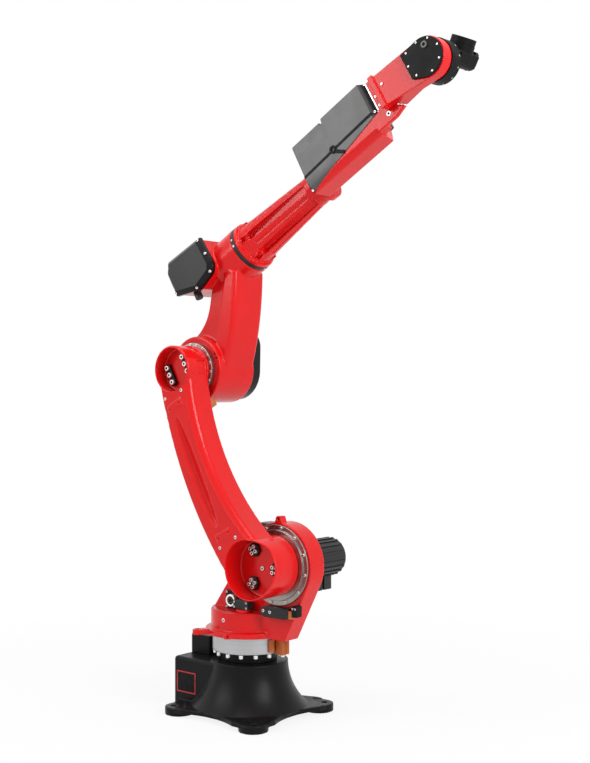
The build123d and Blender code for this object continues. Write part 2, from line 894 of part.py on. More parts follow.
def make_wrist_body():
    outline = hull([(wrist_heel_forward, wrist_heel_side, wrist_heel_radius),
                    (wrist_heel_forward, -wrist_heel_side, wrist_heel_radius)],
                   [(wrist_shoulder, wrist_body_half), (wrist_shoulder, -wrist_body_half)])
    body = slab(outline, wrist_body_left, wrist_body_right)
    body = fillet(body.faces().sort_by(Axis.X)[-1].edges(), wrist_edge)
    return body + rod(wrist_neck_radius, wrist_heel_forward, wrist_nose)


def make_wrist_end_cap():
    return disc(end_cap_radius, wrist_body_right, wrist_body_right + end_cap_length, end_cap_forward)


def make_tool_flange():
    body = rod(flange_radius, flange_back, flange_face)
    body -= rod(flange_pilot / 2, flange_face - flange_pilot_depth, flange_face)
    for index in range(flange_bolts):
        side, height = polar(flange_bolt_circle / 2, 360 / flange_bolts * (index + 0.5))
        body -= rod(flange_bolt_hole / 2, flange_back, flange_face, side, height)
    return body


fixed = Location()
pieces = [
    ("base_casting", make_base_casting(), fixed),
    ("rear_panel", make_rear_panel(), fixed),
    ("rear_sockets", make_rear_sockets(), fixed),
    ("j1_motor_cap", make_j1_motor_cap(), fixed),
    ("j1_reducer_hub", make_j1_reducer_hub(), fixed),
    ("j1_ring", make_j1_ring(), fixed),
    ("turret_casting", make_turret_casting(), fixed),
    ("j1_stop_block", make_j1_stop_block(), fixed),
    ("j1_stop_pad", make_j1_stop_pad(), fixed),
    ("connector_plate", make_connector_plate(), fixed),
    ("round_connector", make_round_connector(), fixed),
    ("cable_boss", make_cable_boss(), fixed),
    ("side_connector", make_side_connector(), fixed),
    ("j2_ring", make_j2_ring(), fixed),
    ("j2_motor_flange", make_j2_motor_flange(), fixed),
    ("j2_motor", make_j2_motor(), fixed),
    ("j2_motor_sockets", make_j2_motor_sockets(), fixed),
    ("cable_box", make_cable_box(), fixed),
    ("j2_stop_plate", make_j2_stop_plate(), fixed),
    ("j2_bumper", make_j2_bumper(), fixed),
    ("bumper_bracket", make_bumper_bracket(), fixed),
    ("lower_arm_casting", make_lower_arm_casting(), arm_place),
    ("j2_clamp_plates", make_j2_clamp_plates(), arm_place),
    ("j3_clamp_plates", make_j3_clamp_plates(), arm_place),
    ("j3_stop_block", make_j3_stop_block(), arm_place),
    ("elbow_casting", make_elbow_casting(), elbow_place),
    ("j3_ring", make_j3_ring(), elbow_place),
    ("j3_motor_cover", make_j3_motor_cover(), elbow_place),
    ("j4_motor_cover", make_j4_motor_cover(), elbow_place),
    ("j4_motor_socket", make_j4_motor_socket(), elbow_place),
    ("j4_seal_ring", make_j4_seal_ring(), elbow_place),
    ("forearm_tube", make_forearm_tube(), forearm_place),
    ("forearm_housing", make_forearm_housing(), forearm_place),
    ("forearm_cover", make_forearm_cover(), forearm_place),
    ("wrist_extension", make_wrist_extension(), forearm_place),
    ("j5_side_cover", make_j5_side_cover(), forearm_place),
    ("j5_cover_boss", make_j5_cover_boss(), forearm_place),
    ("wrist_hub", make_wrist_hub(), wrist_place),
    ("wrist_body", make_wrist_body(), wrist_place),
    ("wrist_end_cap", make_wrist_end_cap(), wrist_place),
    ("tool_flange", make_tool_flange(), wrist_place),
]

os.makedirs("parts", exist_ok=True)
for name, shape, place in pieces:
    export_step(shape.moved(place), f"parts/{name}.step")
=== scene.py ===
import json
import math
import bmesh
import bpy
from mathutils import Matrix, Vector


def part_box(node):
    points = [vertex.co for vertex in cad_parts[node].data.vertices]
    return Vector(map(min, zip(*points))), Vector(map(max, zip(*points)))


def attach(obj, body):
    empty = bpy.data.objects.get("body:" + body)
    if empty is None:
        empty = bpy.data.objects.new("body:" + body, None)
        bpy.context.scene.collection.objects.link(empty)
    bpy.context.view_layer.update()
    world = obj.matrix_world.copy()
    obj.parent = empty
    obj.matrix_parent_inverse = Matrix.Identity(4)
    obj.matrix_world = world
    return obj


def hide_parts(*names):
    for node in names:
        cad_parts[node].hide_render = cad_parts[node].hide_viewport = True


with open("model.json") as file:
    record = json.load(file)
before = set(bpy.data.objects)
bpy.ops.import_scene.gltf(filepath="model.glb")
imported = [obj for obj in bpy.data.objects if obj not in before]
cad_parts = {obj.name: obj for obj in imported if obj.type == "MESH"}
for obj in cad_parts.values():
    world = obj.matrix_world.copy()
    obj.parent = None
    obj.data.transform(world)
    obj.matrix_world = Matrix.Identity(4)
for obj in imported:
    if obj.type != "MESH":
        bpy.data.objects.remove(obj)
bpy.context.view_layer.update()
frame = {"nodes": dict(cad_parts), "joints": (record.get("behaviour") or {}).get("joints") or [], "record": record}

# Lengths below are in millimetres, in the frame of the joint that carries the piece.
# MM turns them into the metres of the frame.
MM = 0.001
ACROSS = Vector((0, 1, 0))
NEAR = (0, -1, 0)
FAR = (0, 1, 0)
ALONG = (1, 0, 0)
BACK = (-1, 0, 0)
DOWN = (0, 0, -1)
UP = (0, 0, 1)

# Camera
# Its place is in metres, its turn in degrees, its lens and frame height in millimetres.
camera_place = Vector((2.6824, -2.9708, 1.056))
camera_turn = 40.0
camera_lens = 58.98
camera_sensor = 36.0


# Joint frames
joints = {joint["name"]: joint for joint in frame["joints"]}


def joint_point(name):
    return Vector(joints[name]["pos_m"])


def joint_axis(name):
    return Vector(joints[name]["axis"]).normalized()


def frame_along(origin, along):
    """X along the piece, Y across the arm, Z up from the piece."""
    turn = Matrix((along, ACROSS, along.cross(ACROSS))).transposed()
    return Matrix.Translation(origin) @ turn.to_4x4()


arm_up = (joint_point("j3") - joint_point("j2")).normalized()
forearm_along = joint_axis("j4")
on_forearm = joint_point("j4") - joint_point("j3")
forearm_start = joint_point("j4") - forearm_along * on_forearm.dot(forearm_along)
world_frame = Matrix.Identity(4)
j2_frame = Matrix.Translation(joint_point("j2"))
arm_frame = frame_along(joint_point("j2"), ACROSS.cross(arm_up))
elbow_frame = frame_along(joint_point("j3"), forearm_along)
forearm_frame = frame_along(forearm_start, forearm_along)
wrist_frame = frame_along(joint_point("j5"), joint_axis("j6"))
arm_length = (joint_point("j3") - joint_point("j2")).length / MM
forearm_length = (joint_point("j5") - forearm_start).length / MM
forearm_offset = (forearm_start - joint_point("j3")).length / MM


def near_face(node):
    """Where a node's near side lies across the arm, in millimetres."""
    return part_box(node)[0].y / MM


def far_face(node):
    """Where a node's far side lies across the arm, in millimetres."""
    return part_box(node)[1].y / MM


def node_middle(node):
    """The middle of a node's box, in millimetres."""
    low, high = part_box(node)
    return (low + high) / 2 / MM


# Shader node groups
def new_group(name, inputs, outputs):
    """An empty shader group with float, colour or vector sockets."""
    group = bpy.data.node_groups.new(name, "ShaderNodeTree")
    for label, kind, value in inputs:
        socket = group.interface.new_socket(name=label, in_out="INPUT", socket_type="NodeSocket" + kind)
        socket.default_value = value
    for label, kind in outputs:
        group.interface.new_socket(name=label, in_out="OUTPUT", socket_type="NodeSocket" + kind)
    return group, group.nodes.new("NodeGroupInput"), group.nodes.new("NodeGroupOutput")


def add_node(tree, kind, links=None, **values):
    """A node with its properties set, and its inputs fed by values or by other sockets."""
    node = tree.nodes.new("ShaderNode" + kind)
    for key, value in values.items():
        setattr(node, key, value)
    for key, value in (links or {}).items():
        if isinstance(value, bpy.types.NodeSocket):
            tree.links.new(value, node.inputs[key])
        else:
            node.inputs[key].default_value = value
    return node


def feed(tree, node, **sockets):
    """Links sockets to a node's inputs, which are named with underscores for spaces."""
    for key, socket in sockets.items():
        tree.links.new(socket, node.inputs[key.replace("_", " ")])


def math_node(tree, operation, first, second, clamp=False):
    node = add_node(tree, "Math", {0: first, 1: second}, operation=operation, use_clamp=clamp)
    return node.outputs[0]


def noise(tree, scale, detail=2.0, roughness=0.5, place=None):
    if place is None:
        place = add_node(tree, "TexCoord").outputs["Object"]
    links = {"Vector": place, "Scale": scale, "Detail": detail, "Roughness": roughness}
    return add_node(tree, "TexNoise", links).outputs["Fac"]


def spread(tree, value, low, high, to_low=0.0, to_high=1.0):
    """Maps a range of a value onto another range, held at its ends."""
    links = {"Value": value, "From Min": low, "From Max": high, "To Min": to_low, "To Max": to_high}
    return add_node(tree, "MapRange", links, clamp=True).outputs[0]


def mix_colour(tree, factor, first, second, blend="MIX"):
    node = add_node(tree, "Mix", data_type="RGBA", blend_type=blend)
    for socket, value in ((node.inputs[0], factor), (node.inputs[6], first), (node.inputs[7], second)):
        if isinstance(value, bpy.types.NodeSocket):
            tree.links.new(value, socket)
        else:
            socket.default_value = value
    return node.outputs[2]


edge_wear_width = 0.06


def build_edge_wear_group():
    """A mask of rubbed edges, broken up by a fine noise."""
    tree, inside, outside = new_group("edge wear", [("Start", "Float", 0.53), ("Amount", "Float", 0.5)],
                                      [("Mask", "Float")])
    sharp = add_node(tree, "NewGeometry").outputs["Pointiness"]
    end = math_node(tree, "ADD", inside.outputs["Start"], edge_wear_width)
    edge = spread(tree, sharp, inside.outputs["Start"], end)
    patch = spread(tree, noise(tree, scale=45.0, detail=4.0, roughness=0.65), low=0.45, high=0.7)
    mask = math_node(tree, "MULTIPLY", edge, patch)
    mask = math_node(tree, "MULTIPLY", mask, inside.outputs["Amount"], clamp=True)
    feed(tree, outside, Mask=mask)
    return tree


def build_cast_skin_group():
    """The skin of a painted casting: slow colour drift, uneven gloss, fine orange peel and pits."""
    tree, inside, outside = new_group(
        "cast skin",
        [("Colour", "Color", (0.5, 0.5, 0.5, 1)), ("Drift", "Float", 0.1), ("Base Roughness", "Float", 0.3),
         ("Peel Scale", "Float", 400.0), ("Pits", "Float", 0.3)],
        [("Colour", "Color"), ("Roughness", "Float"), ("Height", "Float")])
    slow = spread(tree, noise(tree, scale=5.0, detail=3.0, roughness=0.6), low=0.3, high=0.7)
    share = math_node(tree, "MULTIPLY", slow, inside.outputs["Drift"])
    darker = mix_colour(tree, 1.0, inside.outputs["Colour"], (0.55, 0.5, 0.5, 1), "MULTIPLY")
    drifted = mix_colour(tree, share, inside.outputs["Colour"], darker)
    smear = spread(tree, noise(tree, scale=18.0, detail=4.0, roughness=0.6),
                   low=0.3, high=0.75, to_low=-0.06, to_high=0.08)
    rough = math_node(tree, "ADD", inside.outputs["Base Roughness"], smear)
    peel = noise(tree, inside.outputs["Peel Scale"], detail=1.0)
    coarse = noise(tree, scale=90.0, detail=3.0, roughness=0.6)
    coarse = math_node(tree, "MULTIPLY", coarse, inside.outputs["Pits"])
    height = math_node(tree, "ADD", peel, coarse)
    feed(tree, outside, Colour=drifted, Roughness=rough, Height=height)
    return tree


def build_dust_group():
    """Pale dust that settles on faces that look up, in soft patches."""
    tree, inside, outside = new_group("settled dust", [("Amount", "Float", 0.2)], [("Mask", "Float")])
    normal = add_node(tree, "NewGeometry").outputs["Normal"]
    upward = add_node(tree, "SeparateXYZ", {"Vector": normal}).outputs["Z"]
    facing_up = spread(tree, upward, low=0.55, high=0.98)
    patch = spread(tree, noise(tree, scale=22.0, detail=5.0, roughness=0.7), low=0.35, high=0.8)
    mask = math_node(tree, "MULTIPLY", facing_up, patch)
    feed(tree, outside, Mask=math_node(tree, "MULTIPLY", mask, inside.outputs["Amount"]))
    return tree


def build_scuff_group():
    """Sparse fine scratches in two directions, as a mask."""
    tree, inside, outside = new_group("fine scuffs", [("Amount", "Float", 0.3)], [("Mask", "Float")])
    place = add_node(tree, "TexCoord").outputs["Object"]
    masks = []
    for stretch in ((14.0, 190.0, 240.0), (230.0, 160.0, 18.0)):
        drawn = add_node(tree, "VectorMath", {0: place, 1: stretch}, operation="MULTIPLY")
        masks.append(spread(tree, noise(tree, scale=1.0, place=drawn.outputs[0]), low=0.66, high=0.72))
    both = math_node(tree, "MAXIMUM", masks[0], masks[1])
    patch = spread(tree, noise(tree, scale=7.0), low=0.5, high=0.65)
    mask = math_node(tree, "MULTIPLY", both, patch)
    feed(tree, outside, Mask=math_node(tree, "MULTIPLY", mask, inside.outputs["Amount"]))
    return tree


def build_tool_marks_group():
    """Fine lathe rings and scratches of a machined face. They lie across the most stretched direction."""
    tree, inside, outside = new_group(
        "tool marks", [("Stretch", "Vector", (1, 1, 1)), ("Base Roughness", "Float", 0.28)],
        [("Shade", "Float"), ("Roughness", "Float"), ("Height", "Float")])
    place = add_node(tree, "TexCoord").outputs["Object"]
    place = add_node(tree, "VectorMath", {0: place, 1: inside.outputs["Stretch"]}, operation="MULTIPLY")
    lines = noise(tree, scale=1.0, detail=6.0, roughness=0.7, place=place.outputs[0])
    shade = spread(tree, lines, low=0.3, high=0.7, to_low=0.75, to_high=1.0)
    rough = spread(tree, lines, low=0.3, high=0.7, to_low=0.0, to_high=0.14)
    rough = math_node(tree, "ADD", inside.outputs["Base Roughness"], rough)
    feed(tree, outside, Shade=shade, Roughness=rough, Height=lines)
    return tree


edge_wear = build_edge_wear_group()
cast_skin = build_cast_skin_group()
settled_dust = build_dust_group()
fine_scuffs = build_scuff_group()
tool_marks = build_tool_marks_group()


# Materials
wear_start = 0.54
scuff_share = 0.4
dust_colour = (0.55, 0.52, 0.5, 1)
dust_roughness = 0.5
paint_bump = 0.12
paint_bump_depth = 0.0006
metal_bump = 0.08
metal_bump_depth = 0.0002


def new_material(name):
    material = bpy.data.materials.new(name)
    material.use_nodes = True
    return material, material.node_tree, material.node_tree.nodes["Principled BSDF"]


def add_group(tree, group, **values):
    """A group in a material. Its inputs are named with underscores for spaces."""
    node = tree.nodes.new("ShaderNodeGroup")
    node.node_tree = group
    for key, value in values.items():
        node.inputs[key.replace("_", " ")].default_value = value
    return node


def add_bump(tree, shader, height, strength, distance):
    bump = add_node(tree, "Bump", {"Strength": strength, "Distance": distance, "Height": height})
    feed(tree, shader, Normal=bump.outputs[0])


def painted_casting(name, colour, worn, roughness, specular, dust,
                    drift=0.2, peel=700.0, pits=0.2, wear=0.25):
    """Paint or moulding with drifting colour, worn edges, fine scuffs and a little settled dust."""
    material, tree, shader = new_material(name)
    skin = add_group(tree, cast_skin, Colour=colour, Drift=drift, Base_Roughness=roughness,
                     Peel_Scale=peel, Pits=pits)
    rubbed = add_group(tree, edge_wear, Start=wear_start, Amount=wear)
    scuffed = add_group(tree, fine_scuffs, Amount=wear * scuff_share)
    dusty = add_group(tree, settled_dust, Amount=dust)
    marks = math_node(tree, "MAXIMUM", rubbed.outputs["Mask"], scuffed.outputs["Mask"])
    paint = mix_colour(tree, marks, skin.outputs["Colour"], worn)
    paint = mix_colour(tree, dusty.outputs["Mask"], paint, dust_colour)
    matting = math_node(tree, "MULTIPLY", dusty.outputs["Mask"], dust_roughness)
    rough = math_node(tree, "ADD", skin.outputs["Roughness"], matting, clamp=True)
    feed(tree, shader, Base_Color=paint, Roughness=rough)
    shader.inputs["Specular IOR Level"].default_value = specular
    add_bump(tree, shader, skin.outputs["Height"], paint_bump, paint_bump_depth)
    return material


def machined_metal(name, colour, roughness, stretch):
    """Turned, milled or plated metal with tool marks."""
    material, tree, shader = new_material(name)
    marks = add_group(tree, tool_marks, Stretch=stretch, Base_Roughness=roughness)
    shade = mix_colour(tree, marks.outputs["Shade"], (0.0, 0.0, 0.0, 1), colour)
    feed(tree, shader, Base_Color=shade, Roughness=marks.outputs["Roughness"])
    shader.inputs["Metallic"].default_value = 1.0
    add_bump(tree, shader, marks.outputs["Height"], metal_bump, metal_bump_depth)
    return material


red_paint = painted_casting(
    "red casting paint", colour=(0.72, 0.006, 0.007, 1), worn=(0.8, 0.06, 0.05, 1),
    roughness=0.2, specular=0.27, dust=0.02, drift=0.22, peel=420.0, pits=0.4, wear=0.3)
black_paint = painted_casting(
    "black casting paint", colour=(0.006, 0.006, 0.0065, 1), worn=(0.05, 0.05, 0.05, 1),
    roughness=0.36, specular=0.12, dust=0.012, drift=0.4, peel=300.0, pits=0.6, wear=0.35)
black_cover = painted_casting(
    "black moulded cover", colour=(0.018, 0.018, 0.019, 1), worn=(0.07, 0.07, 0.07, 1),
    roughness=0.3, specular=0.26, dust=0.015)
# The grey paints the sheen of a black cover that reflects the bright side: a painted reflection.
painted_sheen_cover = painted_casting(
    "moulded cover with painted grey sheen", colour=(0.075, 0.073, 0.072, 1), worn=(0.16, 0.16, 0.16, 1),
    roughness=0.32, specular=0.4, dust=0.02, drift=0.25)
matt_black = painted_casting(
    "matt black cover", colour=(0.007, 0.007, 0.0075, 1), worn=(0.04, 0.04, 0.04, 1),
    roughness=0.44, specular=0.08, dust=0.008, drift=0.25, peel=600.0, pits=0.3)
# A darker, glossier black that paints shade and a dark reflection on sides facing away from the light.
painted_shade_black = painted_casting(
    "black with painted shade and dark reflection", colour=(0.005, 0.005, 0.0055, 1), worn=(0.05, 0.05, 0.05, 1),
    roughness=0.18, specular=0.2, dust=0.01)
# Real black rubber, also used as painted shade along the cover's seam.
black_rubber_and_seam_shade = painted_casting(
    "black rubber and painted seam shade", colour=(0.006, 0.006, 0.006, 1), worn=(0.03, 0.03, 0.03, 1),
    roughness=0.55, specular=0.15, dust=0.02, peel=500.0, pits=0.3, wear=0.1)
plate_red = painted_casting(
    "red printed border", colour=(0.5, 0.02, 0.025, 1), worn=(0.6, 0.2, 0.2, 1),
    roughness=0.35, specular=0.3, dust=0.01, drift=0.1, peel=500.0, pits=0.1, wear=0.1)
orange_stop = painted_casting(
    "orange polyurethane", colour=(0.58, 0.14, 0.018, 1), worn=(0.8, 0.36, 0.1, 1),
    roughness=0.26, specular=0.45, dust=0.06, drift=0.55, peel=150.0, wear=0.2)
turned_steel = machined_metal(
    "turned steel", colour=(0.52, 0.52, 0.53, 1), roughness=0.3, stretch=(6.0, 6.0, 900.0))
ring_steel = machined_metal(
    "ground reducer steel", colour=(0.36, 0.33, 0.31, 1), roughness=0.24, stretch=(60.0, 500.0, 60.0))
dark_steel = machined_metal(
    "oiled dark steel", colour=(0.2, 0.19, 0.18, 1), roughness=0.36, stretch=(60.0, 500.0, 60.0))
# Real blackened steel, also used as painted shade inside screw sockets.
black_steel_and_socket_shade = machined_metal(
    "blackened steel and painted socket shade", colour=(0.03, 0.029, 0.029, 1), roughness=0.45, stretch=(90.0, 90.0, 90.0))
zinc_screw = machined_metal(
    "zinc plated screw", colour=(0.86, 0.86, 0.84, 1), roughness=0.36, stretch=(200.0, 200.0, 200.0))
bright_nickel = machined_metal(
    "nickel plated fitting", colour=(0.92, 0.92, 0.9, 1), roughness=0.3, stretch=(120.0, 120.0, 120.0))
brass_pin = machined_metal(
    "brass contact", colour=(0.78, 0.55, 0.22, 1), roughness=0.3, stretch=(150.0, 150.0, 150.0))

slot_finish = {
    "red_paint": red_paint,
    "black_paint": black_paint,
    "black_cover": black_cover,
    "machined_steel": turned_steel,
    "dark_steel": dark_steel,
    "orange_stop": orange_stop,
}
node_finish = {
    "j2_ring": ring_steel,
    "j3_ring": ring_steel,
    "j2_clamp_plates": black_steel_and_socket_shade,
    "j3_clamp_plates": black_steel_and_socket_shade,
    "round_connector": bright_nickel,
    "j2_stop_plate": black_cover,
    "j4_motor_socket": black_cover,
    "j5_side_cover": matt_black,
    # This boss takes the grey with painted sheen as well.
    "j5_cover_boss": painted_sheen_cover,
    "wrist_hub": matt_black,
    "wrist_body": matt_black,
    "wrist_end_cap": matt_black,
    "tool_flange": matt_black,
}
slot_of = {part["node"]: part["material_slot"] for part in frame["record"]["subparts"]}
body_of = {}
for body, members in frame["record"]["behaviour"]["bodies"].items():
    for member in members:
        body_of[member] = body


def finish_of(node):
    return node_finish.get(node, slot_finish[slot_of[node]])


for node, item in frame["nodes"].items():
    item.data.materials.clear()
    item.data.materials.append(finish_of(node))


# Mesh making
# Screw heads are shares of their radius and height. Angles are in degrees.
screw_socket = 0.5
screw_shoulder = 0.84
screw_top = 0.86
screw_socket_floor = 0.35
weld_distance = 1e-5
flat_angle = 0.5
bevel_angle = 32.0
same_way = 0.93


def side_view(base):
    """A place whose XY is the arm's side view, with Z toward the near side."""
    return base @ Matrix.Rotation(math.radians(90), 4, "X")


def facing(base, point, direction):
    """A place at a point of a frame, with Z along a direction of that frame."""
    turn = Vector(direction).normalized().to_track_quat("Z", "Y").to_matrix().to_4x4()
    return base @ Matrix.Translation(Vector(point) * MM) @ turn


def shifted(place, x, y):
    """A place moved in its own XY."""
    return place @ Matrix.Translation(Vector((x, y, 0)) * MM)


def face_places(base, face, spots, direction=NEAR):
    """Places on a near or far face of a frame, at spots along and up."""
    return [facing(base, (along, face, up), direction) for along, up in spots]


def corner_places(node, direction, inset):
    """Places at the four corners of a node's near or far side."""
    low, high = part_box(node)
    face = near_face(node) if direction == NEAR else far_face(node)
    spots = [(x, z) for x in (low.x / MM + inset, high.x / MM - inset)
             for z in (low.z / MM + inset, high.z / MM - inset)]
    return face_places(world_frame, face, spots, direction)


def add_rings(work, place, rings):
    """A closed skin through rings of points, which all have as many points. Gives its bands and ends."""
    made = [[work.verts.new(place @ (Vector(point) * MM)) for point in ring] for ring in rings]
    count = len(rings[0])
    bands = []
    for low, high in zip(made[:-1], made[1:]):
        band = []
        for i in range(count):
            j = (i + 1) % count
            band.append(work.faces.new((low[i], low[j], high[j], high[i])))
        bands.append(band)
    ends = [work.faces.new(list(reversed(made[0]))), work.faces.new(made[-1])]
    return bands, ends


def turned(angle):
    """The cosine and sine of an angle in degrees."""
    turn = math.radians(angle)
    return math.cos(turn), math.sin(turn)


def circle_ring(radius, level, sides):
    turns = [2 * math.pi * i / sides for i in range(sides)]
    return [(radius * math.cos(turn), radius * math.sin(turn), level) for turn in turns]


def add_rod(work, place, radius, low, high, sides=32, bevel=0.0):
    """A round bar along a place's Z, with its far edge bevelled."""
    rings = [circle_ring(radius, low, sides), circle_ring(radius, high - bevel, sides)]
    if bevel:
        rings.append(circle_ring(radius - bevel, high, sides))
    add_rings(work, place, rings)


def add_bar(work, place, outline, low, high):
    """A bar with an outline in a place's XY."""
    add_rings(work, place, [[(x, y, level) for x, y in outline] for level in (low, high)])


def add_washer(work, place, inner, outer, low, high, sides=40):
    """A round ring with square edges."""
    rings = [circle_ring(inner, low, sides), circle_ring(outer, low, sides),
             circle_ring(outer, high, sides), circle_ring(inner, high, sides)]
    made = [[work.verts.new(place @ (Vector(point) * MM)) for point in ring] for ring in rings]
    for first, second in zip(made, made[1:] + made[:1]):
        for i in range(sides):
            j = (i + 1) % sides
            work.faces.new((first[i], first[j], second[j], second[i]))


def add_screw(work, place, radius, height, sides=24):
    """A socket head cap screw whose head stands on a seat at the place's origin, along its Z. Its socket takes the
    second material, which paints shade into it.
    """
    hexagon = radius * screw_socket
    rings = [circle_ring(radius, 0.0, sides), circle_ring(radius, height * screw_shoulder, sides),
             circle_ring(radius * screw_top, height, sides)]
    for level in (height, height * screw_socket_floor):
        ring = []
        for i in range(sides):
            angle = 2 * math.pi * i / sides
            reach = hexagon / math.cos((angle % (math.pi / 3)) - math.pi / 6)
            ring.append((reach * math.cos(angle), reach * math.sin(angle), level))
        rings.append(ring)
    bands, ends = add_rings(work, place, rings)
    # The socket's walls and floor take the second material: painted shade, darker than the head.
    for face in bands[-1] + ends[-1:]:
        face.material_index = 1


def box_outline(x0, x1, y0, y1):
    return [(x0, y0), (x1, y0), (x1, y1), (x0, y1)]


def arc_band(inner, outer, start, end, steps):
    """The outline of a stretch of a ring, with angles in degrees."""
    turns = [math.radians(start + (end - start) * i / steps) for i in range(steps + 1)]
    outline = [(outer * math.cos(turn), outer * math.sin(turn)) for turn in turns]
    return outline + [(inner * math.cos(turn), inner * math.sin(turn)) for turn in reversed(turns)]


def ring_points(count, circle, start=0.0):
    """Points of a bolt circle as pairs."""
    turns = [math.radians(start + 360.0 / count * index) for index in range(count)]
    return [(circle * math.cos(turn), circle * math.sin(turn)) for turn in turns]


def mesh_from(work, name):
    bmesh.ops.recalc_face_normals(work, faces=work.faces)
    mesh = bpy.data.meshes.new(name)
    work.to_mesh(mesh)
    work.free()
    return mesh


def node_mesh(node):
    """A joined copy of a solid's mesh, with flat faces in one piece."""
    work = bmesh.new()
    work.from_mesh(frame["nodes"][node].data)
    bmesh.ops.remove_doubles(work, verts=work.verts, dist=weld_distance)
    bmesh.ops.dissolve_limit(work, angle_limit=math.radians(flat_angle), verts=work.verts, edges=work.edges)
    return mesh_from(work, node + "_copy")


def new_object(name, data):
    item = bpy.data.objects.new(name, data)
    bpy.context.scene.collection.objects.link(item)
    return item


def applied(item):
    """The mesh of an object with its modifiers worked in. The object is removed."""
    bpy.context.view_layer.update()
    depsgraph = bpy.context.evaluated_depsgraph_get()
    mesh = bpy.data.meshes.new_from_object(item.evaluated_get(depsgraph))
    bpy.data.objects.remove(item)
    return mesh


def cut_away(mesh, cutter):
    """A mesh less the shapes of a work mesh."""
    tool = new_object("work", mesh_from(cutter, "cutter"))
    item = new_object("work", mesh)
    cut = item.modifiers.new("cut", "BOOLEAN")
    cut.operation = "DIFFERENCE"
    cut.solver = "EXACT"
    cut.object = tool
    mesh = applied(item)
    bpy.data.objects.remove(tool)
    return mesh


def edged(mesh, width):
    """A mesh with its sharp edges rounded, and flat faces that shade flat."""
    item = new_object("work", mesh)
    bevel = item.modifiers.new("bevel", "BEVEL")
    bevel.width = width * MM
    bevel.segments = 2
    bevel.limit_method = "ANGLE"
    bevel.angle_limit = math.radians(bevel_angle)
    item.modifiers.new("weighted", "WEIGHTED_NORMAL").keep_sharp = True
    for polygon in mesh.polygons:
        polygon.use_smooth = True
    return applied(item)


def add_piece(name, mesh, body, finish):
    piece = new_object(name, mesh)
    mesh.materials.append(finish)
    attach(piece, body)
    return piece


def made_piece(name, work, body, finish, width=0.0):
    """A piece from a work mesh, with its edges rounded where a width is given."""
    mesh = mesh_from(work, name)
    if width:
        mesh = edged(mesh, width)
    return add_piece(name, mesh, body, finish)


def node_piece(node, mesh):
    """A piece that stands for a solid."""
    piece = add_piece(node + "_skin", mesh, body_of[node], finish_of(node))
    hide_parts(node)
    return piece


def paint_shade_on_sides(piece, directions, finish):
    """Paints shade: gives the faces that look in none of the directions a darker finish, a painted shade and dark
    reflection.
    """
    piece.data.materials.append(finish)
    for polygon in piece.data.polygons:
        if max(polygon.normal.dot(Vector(direction)) for direction in directions) < same_way:
            polygon.material_index = 1


def edged_piece(node, width, cutter=None):
    """A machined or moulded piece with rounded edges, worked from the solid."""
    mesh = node_mesh(node)
    if cutter is not None:
        mesh = cut_away(mesh, cutter)
    return node_piece(node, edged(mesh, width))


def edged_pieces(widths):
    """Pieces with rounded edges, from their names and edge widths."""
    for node, width in widths.items():
        edged_piece(node, width)


def cast_piece(node, voxel, passes, keep, cutters=()):
    """A casting with soft edges and fillets, worked from the solid. It keeps a share of its triangles."""
    mesh = node_mesh(node)
    for cutter in cutters:
        mesh = cut_away(mesh, cutter)
    item = new_object("work", mesh)
    remesh = item.modifiers.new("remesh", "REMESH")
    remesh.mode = "VOXEL"
    remesh.voxel_size = voxel * MM
    smooth = item.modifiers.new("smooth", "SMOOTH")
    smooth.factor = 0.5
    smooth.iterations = passes
    item.modifiers.new("thin out", "DECIMATE").ratio = keep
    mesh = applied(item)
    for polygon in mesh.polygons:
        polygon.use_smooth = True
    node_piece(node, mesh)


def add_screws(name, body, places, radius, height, finish=zinc_screw):
    """A joined set of like screws, with painted shade in their sockets."""
    work = bmesh.new()
    for place in places:
        add_screw(work, place, radius, height)
    piece = made_piece(name, work, body, finish)
    # The second material is dark steel that paints shade into the sockets.
    piece.data.materials.append(black_steel_and_socket_shade)


# In the values below, a bolt circle is a count, a radius and the angle of its first bolt.
# Spots are pairs, along and up in the side view, and boxes are two lengths along and two up,
# unless a comment says otherwise.

# Base
base_edges = {"j1_motor_cap": 2.0, "j1_reducer_hub": 1.5, "rear_panel": 1.0, "rear_sockets": 1.2}
plate_box = (-215.0, -131.0, 54.0, 122.0)
plate_border = 4.0
plate_wall = 112.0
plate_sunk = 1.0
plate_lift = 0.7
border_lift = 1.2
panel_screw_sides = (-66, 0, 66)
panel_screw_rises = (-37, 37)
socket_sides = (-35, 35)
socket_contacts = (6, 9.0, 30.0)
socket_ridges = 24
socket_ridge = (21.6, 23.0, -1.6, 1.6)


def build_rating_plate():
    """A bare dark plate with a red border on the side of the connector box."""
    border = bmesh.new()
    middle = bmesh.new()
    view = side_view(world_frame)
    under = plate_wall - plate_sunk
    back, front, low, high = plate_box
    add_bar(middle, view, box_outline(*plate_box), under, plate_wall + plate_lift)
    inner_low = low + plate_border
    inner_high = high - plate_border
    for strip in ((back, front, inner_high, high),
                  (back, front, low, inner_low),
                  (back, back + plate_border, inner_low, inner_high),
                  (front - plate_border, front, inner_low, inner_high)):
        add_bar(border, view, box_outline(*strip), under, plate_wall + border_lift)
    made_piece("rating_plate", middle, "base", matt_black)
    made_piece("rating_plate_border", border, "base", plate_red)


